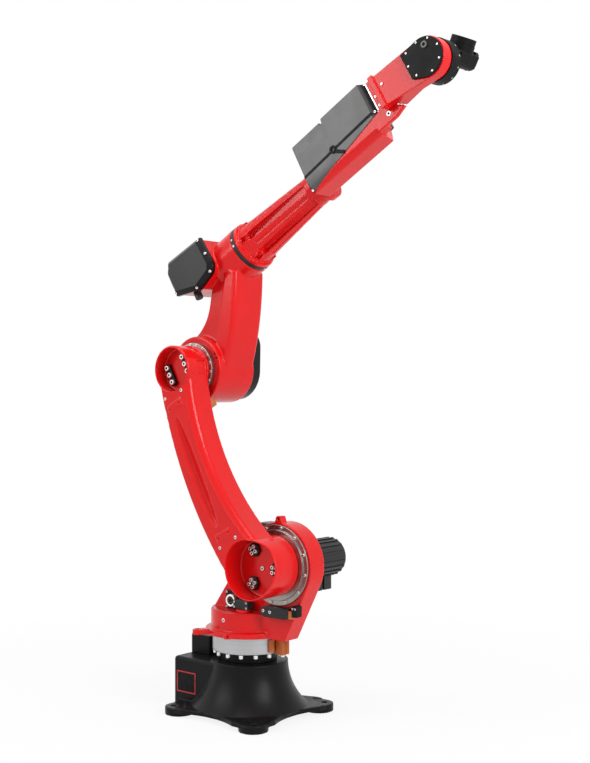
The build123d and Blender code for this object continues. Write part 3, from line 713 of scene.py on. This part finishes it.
def build_rear_panel():
    """The screws of the rear panel, and the inserts, contacts and grip ridges of its sockets."""
    panel_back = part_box("rear_panel")[0].x / MM
    level = node_middle("rear_panel").z
    places = []
    for side in panel_screw_sides:
        for rise in panel_screw_rises:
            places.append(facing(world_frame, (panel_back, side, level + rise), BACK))
    add_screws("rear_panel_screws", "base", places, radius=4, height=3)
    socket_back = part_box("rear_sockets")[0].x / MM
    inserts = bmesh.new()
    contacts = bmesh.new()
    ridges = bmesh.new()
    for side in socket_sides:
        view = facing(world_frame, (socket_back, side, level), BACK)
        add_rod(inserts, view, radius=15.5, low=-3.2, high=-2.0)
        for x, y in ring_points(*socket_contacts) + [(0, 0)]:
            add_rod(contacts, shifted(view, x, y), radius=1.6, low=-2.4, high=-0.3, sides=12, bevel=0.4)
        for index in range(socket_ridges):
            ridge = view @ Matrix.Rotation(math.radians(360 / socket_ridges * index), 4, "Z")
            add_bar(ridges, ridge, box_outline(*socket_ridge), low=-14, high=-3)
    made_piece("rear_socket_inserts", inserts, "base", black_rubber_and_seam_shade)
    made_piece("rear_socket_contacts", contacts, "base", brass_pin)
    made_piece("rear_socket_ridges", ridges, "base", turned_steel)


def build_base():
    cast_piece("base_casting", voxel=2.4, passes=5, keep=0.35)
    edged_pieces(base_edges)
    build_rating_plate()
    build_rear_panel()


# Turret
first_axis_edges = {"j1_ring": 1.5, "j1_stop_block": 0.8, "j1_stop_pad": 1.6}
cable_entry_edges = {"connector_plate": 1.2, "round_connector": 1.4, "side_connector": 2.0,
                     "cable_boss": 1.2}
second_axis_edges = {"j2_ring": 1.2, "j2_motor_flange": 2.0, "j2_motor_sockets": 2.0, "cable_box": 3.0,
                     "j2_stop_plate": 3.0, "j2_bumper": 2.5, "bumper_bracket": 1.5}
ear_angle = 122.0
ear_reach = 180.0
ear_height = 266.0
rim_hole = 3.6
# Angle, radius and height
rim_hole_spot = (-75.0, 143.0, 267.0)
drum_plug_spot = (-89.5, 122.6, 310.0)
ring1_bolts = (15, 109.0, -14.0)
connector_contacts = (7, 7.5, 90.0)
ring2_bolts = (12, 116.5, 80.0)
ring2_step = 6.0
motor_bolt_sides = (-54, 54)
motor_end_bolts = (4, 46.0, 45.0)
motor_end_sunk = 5.0
motor_end_bore = 5.5
stop_screw_steps = ((14, 3), (41, 1))
bracket_screw_sides = (-5, 5)
bracket_screw_rise = 9.0


def radial(angle, radius, height):
    """A place on a circle about the first axis, looking outward, with the angle in degrees."""
    away = Vector((*turned(angle), 0))
    return facing(world_frame, (away.x * radius, away.y * radius, height), away)


def build_turret_casting():
    cutter = bmesh.new()
    for side in (-1, 1):
        ear = radial(side * ear_angle, ear_reach, ear_height)
        add_rod(cutter, ear, rim_hole, low=0, high=12, sides=20)
    add_rod(cutter, radial(*rim_hole_spot), rim_hole, low=0, high=16, sides=20)
    cast_piece("turret_casting", voxel=1.9, passes=4, keep=0.35, cutters=[cutter])


def build_first_axis():
    edged_pieces(first_axis_edges)
    ring_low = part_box("j1_ring")[0].z / MM
    places = [facing(world_frame, (x, y, ring_low), DOWN) for x, y in ring_points(*ring1_bolts)]
    add_screws("j1_ring_screws", "turret", places, radius=7, height=12)
    block = node_middle("j1_stop_block")
    block_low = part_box("j1_stop_block")[0].z / MM
    places = [facing(world_frame, (block.x, block.y, block_low), DOWN)]
    add_screws("j1_stop_screw", "turret", places, radius=7.5, height=9)
    add_screws("drum_plug", "turret", [radial(*drum_plug_spot)], radius=6, height=2)


def build_cable_entries():
    """The plate, ring and block where the cables enter the drum."""
    edged_pieces(cable_entry_edges)
    places = corner_places("connector_plate", NEAR, inset=5)
    add_screws("connector_plate_screws", "turret", places, radius=3.2, height=2.4)
    middle = node_middle("round_connector")
    view = facing(world_frame, (middle.x, near_face("round_connector"), middle.z), NEAR)
    insert = bmesh.new()
    add_rod(insert, view, radius=12.8, low=-3.2, high=-1.5)
    made_piece("round_connector_insert", insert, "turret", black_rubber_and_seam_shade)
    contacts = bmesh.new()
    for x, y in ring_points(*connector_contacts):
        add_rod(contacts, shifted(view, x, y), radius=1.0, low=-1.8, high=0.0, sides=10, bevel=0.3)
    made_piece("round_connector_contacts", contacts, "turret", brass_pin)
    places = corner_places("side_connector", NEAR, inset=6)
    add_screws("side_connector_screws", "turret", places, radius=3, height=2)


def build_second_axis():
    """The reducer flange, motor and stop of the second axis."""
    edged_pieces(second_axis_edges)
    places = face_places(j2_frame, near_face("j2_ring") + ring2_step, ring_points(*ring2_bolts))
    add_screws("j2_ring_screws", "turret", places, radius=4.6, height=4.5)
    spots = [(x, z) for x in motor_bolt_sides for z in motor_bolt_sides]
    places = face_places(j2_frame, far_face("j2_motor_flange"), spots, FAR)
    add_screws("motor_flange_screws", "turret", places, radius=6, height=6)
    end_face = far_face("j2_motor") - motor_end_sunk
    places = face_places(j2_frame, end_face, ring_points(*motor_end_bolts), FAR)
    add_screws("motor_end_screws", "turret", places, radius=4, height=4)
    bores = bmesh.new()
    for place in places:
        add_rod(bores, place, motor_end_bore, low=0, high=8, sides=24)
    edged_piece("j2_motor", width=0.8, cutter=bores)
    places = corner_places("cable_box", FAR, inset=11)
    add_screws("cable_box_screws", "turret", places, radius=3.5, height=2.5)
    stop_face = near_face("j2_stop_plate")
    low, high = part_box("j2_stop_plate")
    level = (low.z + high.z) / 2 / MM
    spots = [(low.x / MM + step, level + rise) for step, rise in stop_screw_steps]
    places = face_places(world_frame, stop_face, spots)
    add_screws("stop_plate_screws", "turret", places, radius=5, height=4)
    middle = node_middle("bumper_bracket")
    spots = [(middle.x + side, middle.z + bracket_screw_rise) for side in bracket_screw_sides]
    places = face_places(world_frame, stop_face, spots)
    add_screws("bracket_screws", "turret", places, radius=3, height=2.5)


# Lower arm
lower_arm_edges = {"j2_clamp_plates": 1.2, "j3_clamp_plates": 1.2, "j3_stop_block": 2.0}
ridge_drop = 3.0
head3_reach = 76.0
head3_recess = 7.0
head3_past = 6.0
head3_arcs = ((-38, -4), (4, 58), (66, 122), (130, 186))
head3_low = 116.0
head3_high = 156.0
arm_hole_spots = ((-16, 574), (-63, 571), (-13, 129), (-61, 128))
arm_hole_drop = 6.0
arm_screw_spots = ((-66, 611), (10, 603), (6, 104), (-68, 101))
# The cut at the front of the lower head's rim: stations up the arm, where it starts and how deep it gets.
rim_fall = 34.0
rim_front = 112.0
rim_stations = ((-112, -30, rim_fall), (30, -30, rim_fall), (112, 84, 1))
plate2_turns = (90, 210, 330)
plate2_reach = 59.0
plate2_circle = 11.0
plate3_side = 38.0
plate3_step = 25.0
centre_screw_sunk = 8.0
centre_screw_rise = -3.0


def build_lower_arm_casting():
    """The arm with recesses about its upper head, holes in its face and a rim that falls away."""
    ridge_face = near_face("lower_arm_casting")
    cutter = bmesh.new()
    head = shifted(side_view(arm_frame), 0, arm_length)
    for start, end in head3_arcs:
        band = arc_band(head3_reach - head3_recess, head3_reach + head3_past, start, end, steps=10)
        add_bar(cutter, head, band, head3_low, head3_high)
    for hole in face_places(arm_frame, ridge_face + arm_hole_drop, arm_hole_spots):
        add_rod(cutter, hole, radius=3.2, low=0, high=8, sides=20)
    above = ridge_face - 3
    rings = []
    for along, start, depth in rim_stations:
        rim = ridge_face + ridge_drop + depth
        rings.append([(start, above, along), (rim_front, above, along), (rim_front, rim, along)])
    add_rings(cutter, arm_frame, rings)
    cast_piece("lower_arm_casting", voxel=1.9, passes=5, keep=0.3, cutters=[cutter])


def build_lower_arm():
    build_lower_arm_casting()
    edged_pieces(lower_arm_edges)
    plate2_face = near_face("j2_clamp_plates")
    plate3_face = near_face("j3_clamp_plates")
    spots = []
    for turn in plate2_turns:
        out_across, out_up = turned(turn)
        for across, up in ring_points(4, plate2_circle, turn + 45):
            spots.append((plate2_reach * out_across + across, plate2_reach * out_up + up))
    places = face_places(arm_frame, plate2_face, spots)
    add_screws("j2_dish_screws", "lower_arm", places, radius=6.3, height=8)
    places = face_places(arm_frame, plate2_face + centre_screw_sunk, [(0, centre_screw_rise)])
    add_screws("j2_centre_screw", "lower_arm", places, radius=6.5, height=4)
    spots = [(side * plate3_side, arm_length + step * plate3_step)
             for side in (-1, 1) for step in (-1, 0, 1)]
    places = face_places(arm_frame, plate3_face, spots)
    add_screws("j3_dish_screws", "lower_arm", places, radius=8.2, height=8)
    places = face_places(arm_frame, near_face("lower_arm_casting") + ridge_drop, arm_screw_spots)
    add_screws("arm_face_screws", "lower_arm", places, radius=5, height=2.6)


# Elbow
cover4_notch = (40, 86, 331, 372)
cover4_spots = ((236, 339), (244, 284), (233, 223), (158, 210), (73, 262), (70, 246))
cover4_lip = 9.0
ring3_bolts = (18, 81.3, 5.0)
elbow_plug_spots = ((98, 1), (98, -14))
elbow_plug_drop = 16.0
collar_station = 331.0
collar_radius = 81.0
collar_turns = (164, 180, 44, 60, -76, -60)
cover3_bolts = (9, 74.0, 100.0)
cover3_spots = [(103, 62), (103, 26), (72, 80)]
# Along, across and up
socket4_end = (118, -74, 170)


def build_elbow():
    cast_piece("elbow_casting", voxel=2.2, passes=8, keep=0.35)
    edged_piece("j3_ring", width=1.2)
    # Faces of the motor covers that do not look the given way get the darker black as painted shade and dark
    # reflection.
    paint_shade_on_sides(edged_piece("j3_motor_cover", width=2.0), [FAR], painted_shade_black)
    notch = bmesh.new()
    add_bar(notch, side_view(elbow_frame), box_outline(*cover4_notch), low=80, high=140)
    paint_shade_on_sides(edged_piece("j4_motor_cover", width=2.0, cutter=notch), [NEAR], painted_shade_black)
    short = bmesh.new()
    add_rod(short, facing(elbow_frame, socket4_end, UP), radius=22, low=0, high=28)
    edged_piece("j4_motor_socket", width=1.5, cutter=short)
    edged_piece("j4_seal_ring", width=1.5)
    ring_face = near_face("j3_ring")
    places = face_places(elbow_frame, ring_face, ring_points(*ring3_bolts))
    add_screws("j3_ring_screws", "elbow", places, radius=4.4, height=2.4)
    places = face_places(elbow_frame, near_face("j4_motor_cover") + cover4_lip, cover4_spots)
    add_screws("j4_cover_screws", "elbow", places, radius=4.2, height=5)
    places = face_places(elbow_frame, ring_face + elbow_plug_drop, elbow_plug_spots)
    add_screws("elbow_plugs", "elbow", places, radius=3.6, height=1.5, finish=black_steel_and_socket_shade)
    places = []
    for turn in collar_turns:
        across, up = turned(turn)
        spot = (collar_station, collar_radius * across, forearm_offset + collar_radius * up)
        places.append(facing(elbow_frame, spot, (0, across, up)))
    add_screws("j4_ring_screws", "elbow", places, radius=3.4, height=1.5)
    spots = ring_points(*cover3_bolts)[:6] + cover3_spots
    places = face_places(elbow_frame, far_face("j3_motor_cover"), spots, FAR)
    add_screws("j3_cover_screws", "elbow", places, radius=4, height=3)


# Forearm tube
tube_flange_end = 352.3
tube_screw_circle = 69.0
tube_pockets = 6
tube_pocket = 9.5
tube_pocket_sunk = 4.0
groove_turn = 30.0
groove_from = 396.0
groove_to = 632.0
groove_start = 67.5
groove_end = 53.5
groove_radius = 5.0


def build_forearm_tube():
    """The tube with screw pockets at its flange and thin grooves between its ribs."""
    cutter = bmesh.new()
    places = []
    for side, up in ring_points(tube_pockets, tube_screw_circle):
        pocket = facing(forearm_frame, (tube_flange_end + tube_pocket_sunk, side, up), ALONG)
        add_rod(cutter, pocket, tube_pocket, low=0, high=32, sides=24)
        places.append(pocket)
    for side, up in ring_points(tube_pockets, 1.0, groove_turn):
        start = Vector((groove_from, groove_start * side, groove_start * up))
        reach = Vector((groove_to, groove_end * side, groove_end * up)) - start
        add_rod(cutter, facing(forearm_frame, start, reach), groove_radius, 0, reach.length, sides=20)
    cast_piece("forearm_tube", voxel=1.7, passes=4, keep=0.35, cutters=[cutter])
    add_screws("tube_flange_screws", "forearm", places, radius=6.5, height=6,
               finish=red_paint)


# Forearm cover
cover_start = 695.0
cover_end = 1011.0
cover_seam = -11.0
cover_low = -64.0
cover_wall = -118.0
corner_round = 22.0
corner_start = -44.0
cover_far = 56.0
cover_far_height = 50.0
far_lean = 86.0
far_drop = 116.0
front_top = 101.0
rear_top = 108.0
step_start = 817.0
step_end = 829.0
step_floor = 94.0
# The seam is a dark strip that paints the shade of a recessed seam.
seam_lift = 1.0
seam_sunk = 3.0
seam_width = 9.0
seam_runs = (((cover_start + 2, -16), (818, -11)), ((834, -10), (cover_end - 22, -5)))
latch_loop = (826, -5)
latch_outline = [(827, -18), (855, -41), (862, -33), (834, -10)]
end_strip = (cover_end, cover_end + 4, -8, 84)
# Along, across and up
under_near_side = (0, -0.8, -0.6)
cover_screw_spots = ((cover_end - 5, -108, 90), (cover_end - 2, -108, -7), (cover_end - 11, -113, -3),
                     (cover_start + 4, -107, -57))


def parting_height(station):
    """Height of the cover's lower edge at a station along the forearm."""
    share = (station - cover_start) / (cover_end - cover_start)
    return cover_low + share * (cover_seam - cover_low)


def cover_section(station, inset, top, slant):
    """One cross-section of the forearm cover, leaning back by its slant at the far side."""
    low = parting_height(station)
    depth = max(0.0, corner_start - low)
    round_in = corner_round - math.sqrt(corner_round ** 2 - depth ** 2)
    near = cover_wall + inset
    far_low = cover_far - far_lean * (cover_far_height - low) / far_drop
    outline = [(near + round_in, low), (near, max(low + 2, corner_start)), (near, cover_seam + 2),
               (near + 6, top - 3), (near + 9, top), (26, 96), (35, 87), (cover_far, cover_far_height),
               (far_low, low)]
    return [(station - slant * (across - near) / (cover_far - near), across, up) for across, up in outline]


def build_cover_trim():
    """The seam, a dark strip that paints the shade of a recessed seam, with its latch, the end strip and the
    corner screws of the forearm cover.
    """
    view = side_view(forearm_frame)
    outer = -cover_wall + seam_lift
    under = outer - seam_sunk
    seam = bmesh.new()
    for (x0, z0), (x1, z1) in seam_runs:
        outline = [(x0, z0), (x1, z1), (x1, z1 + seam_width), (x0, z0 + seam_width)]
        add_bar(seam, view, outline, under, outer)
    add_washer(seam, shifted(view, *latch_loop), inner=5, outer=12, low=under, high=outer + 3)
    add_bar(seam, view, latch_outline, under, outer + 2)
    # The seam strip paints the shade of the seam's recess; the latch on it is a real black part.
    made_piece("forearm_cover_seam", seam, "forearm", black_rubber_and_seam_shade, width=1.0)
    strip = bmesh.new()
    add_bar(strip, view, box_outline(*end_strip), low=116, high=119)
    made_piece("cover_end_strip", strip, "forearm", bright_nickel, width=0.6)
    places = [facing(forearm_frame, spot, NEAR) for spot in cover_screw_spots]
    add_screws("cover_corner_screws", "forearm", places, radius=3.6, height=4)


def build_forearm_cover():
    """The cover with its step and bevelled end. Its near faces are painted grey, a painted reflection of the
    bright side, and its other faces get the darker black as painted shade.
    """
    stations = (
        (cover_start, 5, 96, 0),
        (cover_start + 5, 0, front_top, 0),
        (step_start, 0, front_top, 0),
        (step_start + 2, 0, step_floor, 0),
        (step_end - 3, 0, step_floor, 0),
        (step_end, 0, rear_top, 0),
        (cover_end - 25, 0, rear_top, 45),
        (cover_end, 14, 95, 60),
    )
    work = bmesh.new()
    add_rings(work, forearm_frame, [cover_section(*station) for station in stations])
    mesh = edged(mesh_from(work, "forearm_cover_outside"), width=1.6)
    # The near faces get the grey painted reflection.
    piece = add_piece("forearm_cover_skin", mesh, "forearm", painted_sheen_cover)
    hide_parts("forearm_cover")
    under_near = forearm_frame.to_3x3() @ Vector(under_near_side)
    # Faces other than the near and under-near ones get the darker black as painted shade and dark reflection.
    paint_shade_on_sides(piece, [NEAR, under_near], painted_shade_black)
    build_cover_trim()


# Forearm housing and wrist extension
bed_start = 955.0
bed_end = 1010.5
bed_top = 110.0
mouth_start = 922.0
trough_end = 982.0
# The sloped end of the trough, along from the trough's end and across
mouth_slope = ((-5, -77), (45, -77), (45, 70), (-36, 70))
mouth_heights = (-140, 20)
# Along, across and up
neck_screw_spots = ((1025, -118, 30), (1025, -118, 0), (1072, -144, 31))
washer_spot = (1036, -118, -39)
# The sloped shelf, and where its screws are along it
shelf_start = 1068.0
shelf_run = 22.0
shelf_side = -111.0
shelf_top = -31.0
shelf_fall = 21.0
shelf_up = (0.69, 0, 0.72)
shelf_shares = (0.12, 0.5, 0.88)
# The taper of the extension's far side: back from the fifth axis, and its level
taper_stations = ((150, 74), (64, 106))
taper_past = 80.0
taper_half = 90.0
cover5_bolts = (8, 50.0, -88.0)
cover5_spots = [(-54, 10), (-45, -28), (-42, 46)]


def build_forearm_housing():
    """The trough with a bed for its cover, a rounded lower corner and a sloped end."""
    cutter = bmesh.new()
    bed = [(bed_start, parting_height(bed_start) + 1), (bed_end, cover_seam + 1), (bed_end, bed_top),
           (bed_start, bed_top)]
    add_bar(cutter, side_view(forearm_frame), bed, low=-70, high=130)
    corner = [(cover_wall - 4, corner_start), (cover_wall - 4, corner_start - corner_round - 4)]
    for turn in range(90, -1, -10):
        inward, down = turned(turn)
        corner.append((cover_wall + corner_round * (1 - inward), corner_start - corner_round * down))
    add_rings(cutter, forearm_frame, [[(station, across, up) for across, up in corner]
                                      for station in (mouth_start - 8, trough_end)])
    mouth = bmesh.new()
    add_rings(mouth, forearm_frame, [[(trough_end + along, across, up) for along, across in mouth_slope]
                                     for up in mouth_heights])
    cast_piece("forearm_housing", voxel=1.8, passes=4, keep=0.35, cutters=[cutter, mouth])
    places = [facing(forearm_frame, spot, NEAR) for spot in neck_screw_spots]
    add_screws("neck_screws", "forearm", places, radius=3.8, height=3.5)
    places = []
    for share in shelf_shares:
        spot = (shelf_start + shelf_run * share, shelf_side, shelf_top - shelf_fall * share)
        places.append(facing(forearm_frame, spot, shelf_up))
    add_screws("shelf_screws", "forearm", places, radius=3.8, height=3.5)
    seat = facing(forearm_frame, washer_spot, NEAR)
    washer = bmesh.new()
    add_washer(washer, seat, inner=3.5, outer=6.8, low=-0.5, high=1.0)
    made_piece("shelf_washer", washer, "forearm", bright_nickel, width=0.4)
    add_screws("shelf_washer_screw", "forearm", [seat], radius=4, height=3, finish=black_steel_and_socket_shade)


def build_wrist_extension():
    """The red arm of the fifth axis with a far side that tapers, and its side cover."""
    cutter = bmesh.new()
    rings = []
    for back, level in taper_stations:
        outline = box_outline(forearm_length - back, forearm_length + taper_past, -taper_half, taper_half)
        rings.append([(x, z, level) for x, z in outline])
    add_rings(cutter, side_view(forearm_frame), rings)
    cast_piece("wrist_extension", voxel=1.5, passes=3, keep=0.5, cutters=[cutter])
    edged_piece("j5_side_cover", width=1.4)
    edged_piece("j5_cover_boss", width=1.0)
    spots = [(forearm_length + x, z) for x, z in ring_points(*cover5_bolts)[:5] + cover5_spots]
    places = face_places(forearm_frame, near_face("j5_side_cover"), spots)
    add_screws("j5_cover_screws", "forearm", places, radius=2.8, height=1.6)


# Wrist
hub_step = -64.0
hub_boss = 45.0
hub_radius = 62.0
hub_screw_side = -72.0
hub_screw_turn = 30
cap_trim = 10.0
cap_half = 25.0
cap_bolts = (4, 24.0, 45.0)


def build_wrist_cap():
    """The end cap with four flats, a trimmed end and its screws."""
    low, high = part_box("wrist_end_cap")
    cap = wrist_frame.inverted() @ ((low + high) / 2) / MM
    cap_face = high.y / MM - cap_trim
    middle = facing(wrist_frame, (cap.x, cap_face, cap.z), FAR)
    square = middle @ Matrix.Rotation(math.radians(45), 4, "Z")
    flats = bmesh.new()
    add_washer(flats, square, cap_half * math.sqrt(2), outer=90, low=-40, high=0, sides=4)
    mesh = cut_away(node_mesh("wrist_end_cap"), flats)
    end = bmesh.new()
    add_rod(end, middle, radius=60, low=0, high=40)
    node_piece("wrist_end_cap", edged(cut_away(mesh, end), width=2.0))
    spots = [(cap.x + x, cap.z + z) for x, z in ring_points(*cap_bolts)]
    places = face_places(wrist_frame, cap_face, spots, FAR)
    add_screws("wrist_cap_screws", "wrist", places, radius=3, height=2)


def build_wrist():
    step = bmesh.new()
    shoulder = facing(wrist_frame, (0, hub_step, 0), FAR)
    add_washer(step, shoulder, hub_boss, outer=70, low=0, high=40, sides=64)
    edged_piece("wrist_hub", width=2.0, cutter=step)
    edged_piece("wrist_body", width=2.0)
    edged_piece("tool_flange", width=1.0)
    places = []
    for turn in range(0, 360, hub_screw_turn):
        along, up = turned(turn)
        spot = (hub_radius * along, hub_screw_side, hub_radius * up)
        places.append(facing(wrist_frame, spot, (along, 0, up)))
    add_screws("wrist_hub_screws", "wrist", places, radius=2.4, height=0.9)
    build_wrist_cap()


build_base()
build_turret_casting()
build_first_axis()
build_cable_entries()
build_second_axis()
build_lower_arm()
build_elbow()
build_forearm_tube()
build_forearm_cover()
build_forearm_housing()
build_wrist_extension()
build_wrist()


# Floor, light and camera
# Lengths here are in metres and powers in watts.
floor_half = 14.0
floor_drop = 0.0005
floor_grey = 0.86
shadow_near = 0.3
shadow_far = 2.0
room_light = 0.28
light_target = (0, 0, 1.0)


def directly_seen(tree):
    """1 where the camera looks, straight, in a mirror or through glass, and 0 for other light."""
    path = add_node(tree, "LightPath")
    seen = math_node(tree, "ADD", path.outputs["Is Camera Ray"], path.outputs["Is Glossy Ray"], clamp=True)
    return math_node(tree, "ADD", seen, path.outputs["Is Transmission Ray"], clamp=True)


def build_floor():
    """A pale floor that keeps the shadow and runs out into the white of the studio."""
    material, tree, shader = new_material("pale floor")
    shader.inputs["Base Color"].default_value = (floor_grey, floor_grey, floor_grey, 1)
    shader.inputs["Roughness"].default_value = 0.9
    place = add_node(tree, "TexCoord").outputs["Object"]
    distance = add_node(tree, "VectorMath", {0: place}, operation="LENGTH").outputs["Value"]
    whiteness = spread(tree, distance, shadow_near, shadow_far, to_low=0.86, to_high=1.0)
    share = math_node(tree, "MULTIPLY", directly_seen(tree), whiteness)
    glow = add_node(tree, "Emission", {"Color": (1, 1, 1, 1), "Strength": 1.0})
    both = add_node(tree, "MixShader", {0: share, 1: shader.outputs[0], 2: glow.outputs[0]})
    feed(tree, tree.nodes["Material Output"], Surface=both.outputs[0])
    mesh = bpy.data.meshes.new("floor")
    corners = [(x, y, 0) for x, y in box_outline(-floor_half, floor_half, -floor_half, floor_half)]
    mesh.from_pydata(corners, [], [(0, 1, 2, 3)])
    floor = new_object("floor", mesh)
    floor.location.z = -floor_drop
    mesh.materials.append(material)


def build_world():
    """A white studio that lights the arm softly."""
    world = bpy.data.worlds.new("studio")
    world.use_nodes = True
    tree = world.node_tree
    background = tree.nodes["Background"]
    strength = spread(tree, directly_seen(tree), 0.0, 1.0, to_low=room_light, to_high=1.0)
    background.inputs["Color"].default_value = (1, 1, 1, 1)
    feed(tree, background, Strength=strength)
    bpy.context.scene.world = world


def add_softbox(name, place, size, power):
    """A rectangular lamp that looks at the middle of the arm."""
    light = bpy.data.lights.new(name, "AREA")
    light.shape = "RECTANGLE"
    light.size = size[0]
    light.size_y = size[1]
    light.energy = power
    lamp = new_object(name, light)
    lamp.location = place
    lamp.rotation_euler = (Vector(light_target) - Vector(place)).to_track_quat("-Z", "Y").to_euler()


def build_camera():
    camera = bpy.data.cameras.new("camera")
    camera.sensor_fit = "VERTICAL"
    camera.sensor_height = camera_sensor
    camera.lens = camera_lens
    camera.dof.use_dof = False
    item = new_object("camera", camera)
    item.location = camera_place
    item.rotation_euler = (math.radians(90), 0, math.radians(camera_turn))
    bpy.context.scene.camera = item


build_floor()
build_world()
add_softbox("left softbox", (-2.4, -4.0, 3.2), size=(2.6, 3.2), power=120)
add_softbox("right softbox", (4.2, -0.6, 2.6), size=(2.0, 2.6), power=140)
add_softbox("top softbox", (0.4, -0.5, 4.6), size=(2.4, 2.4), power=75)
build_camera()
bpy.context.scene.view_settings.view_transform = "Standard"
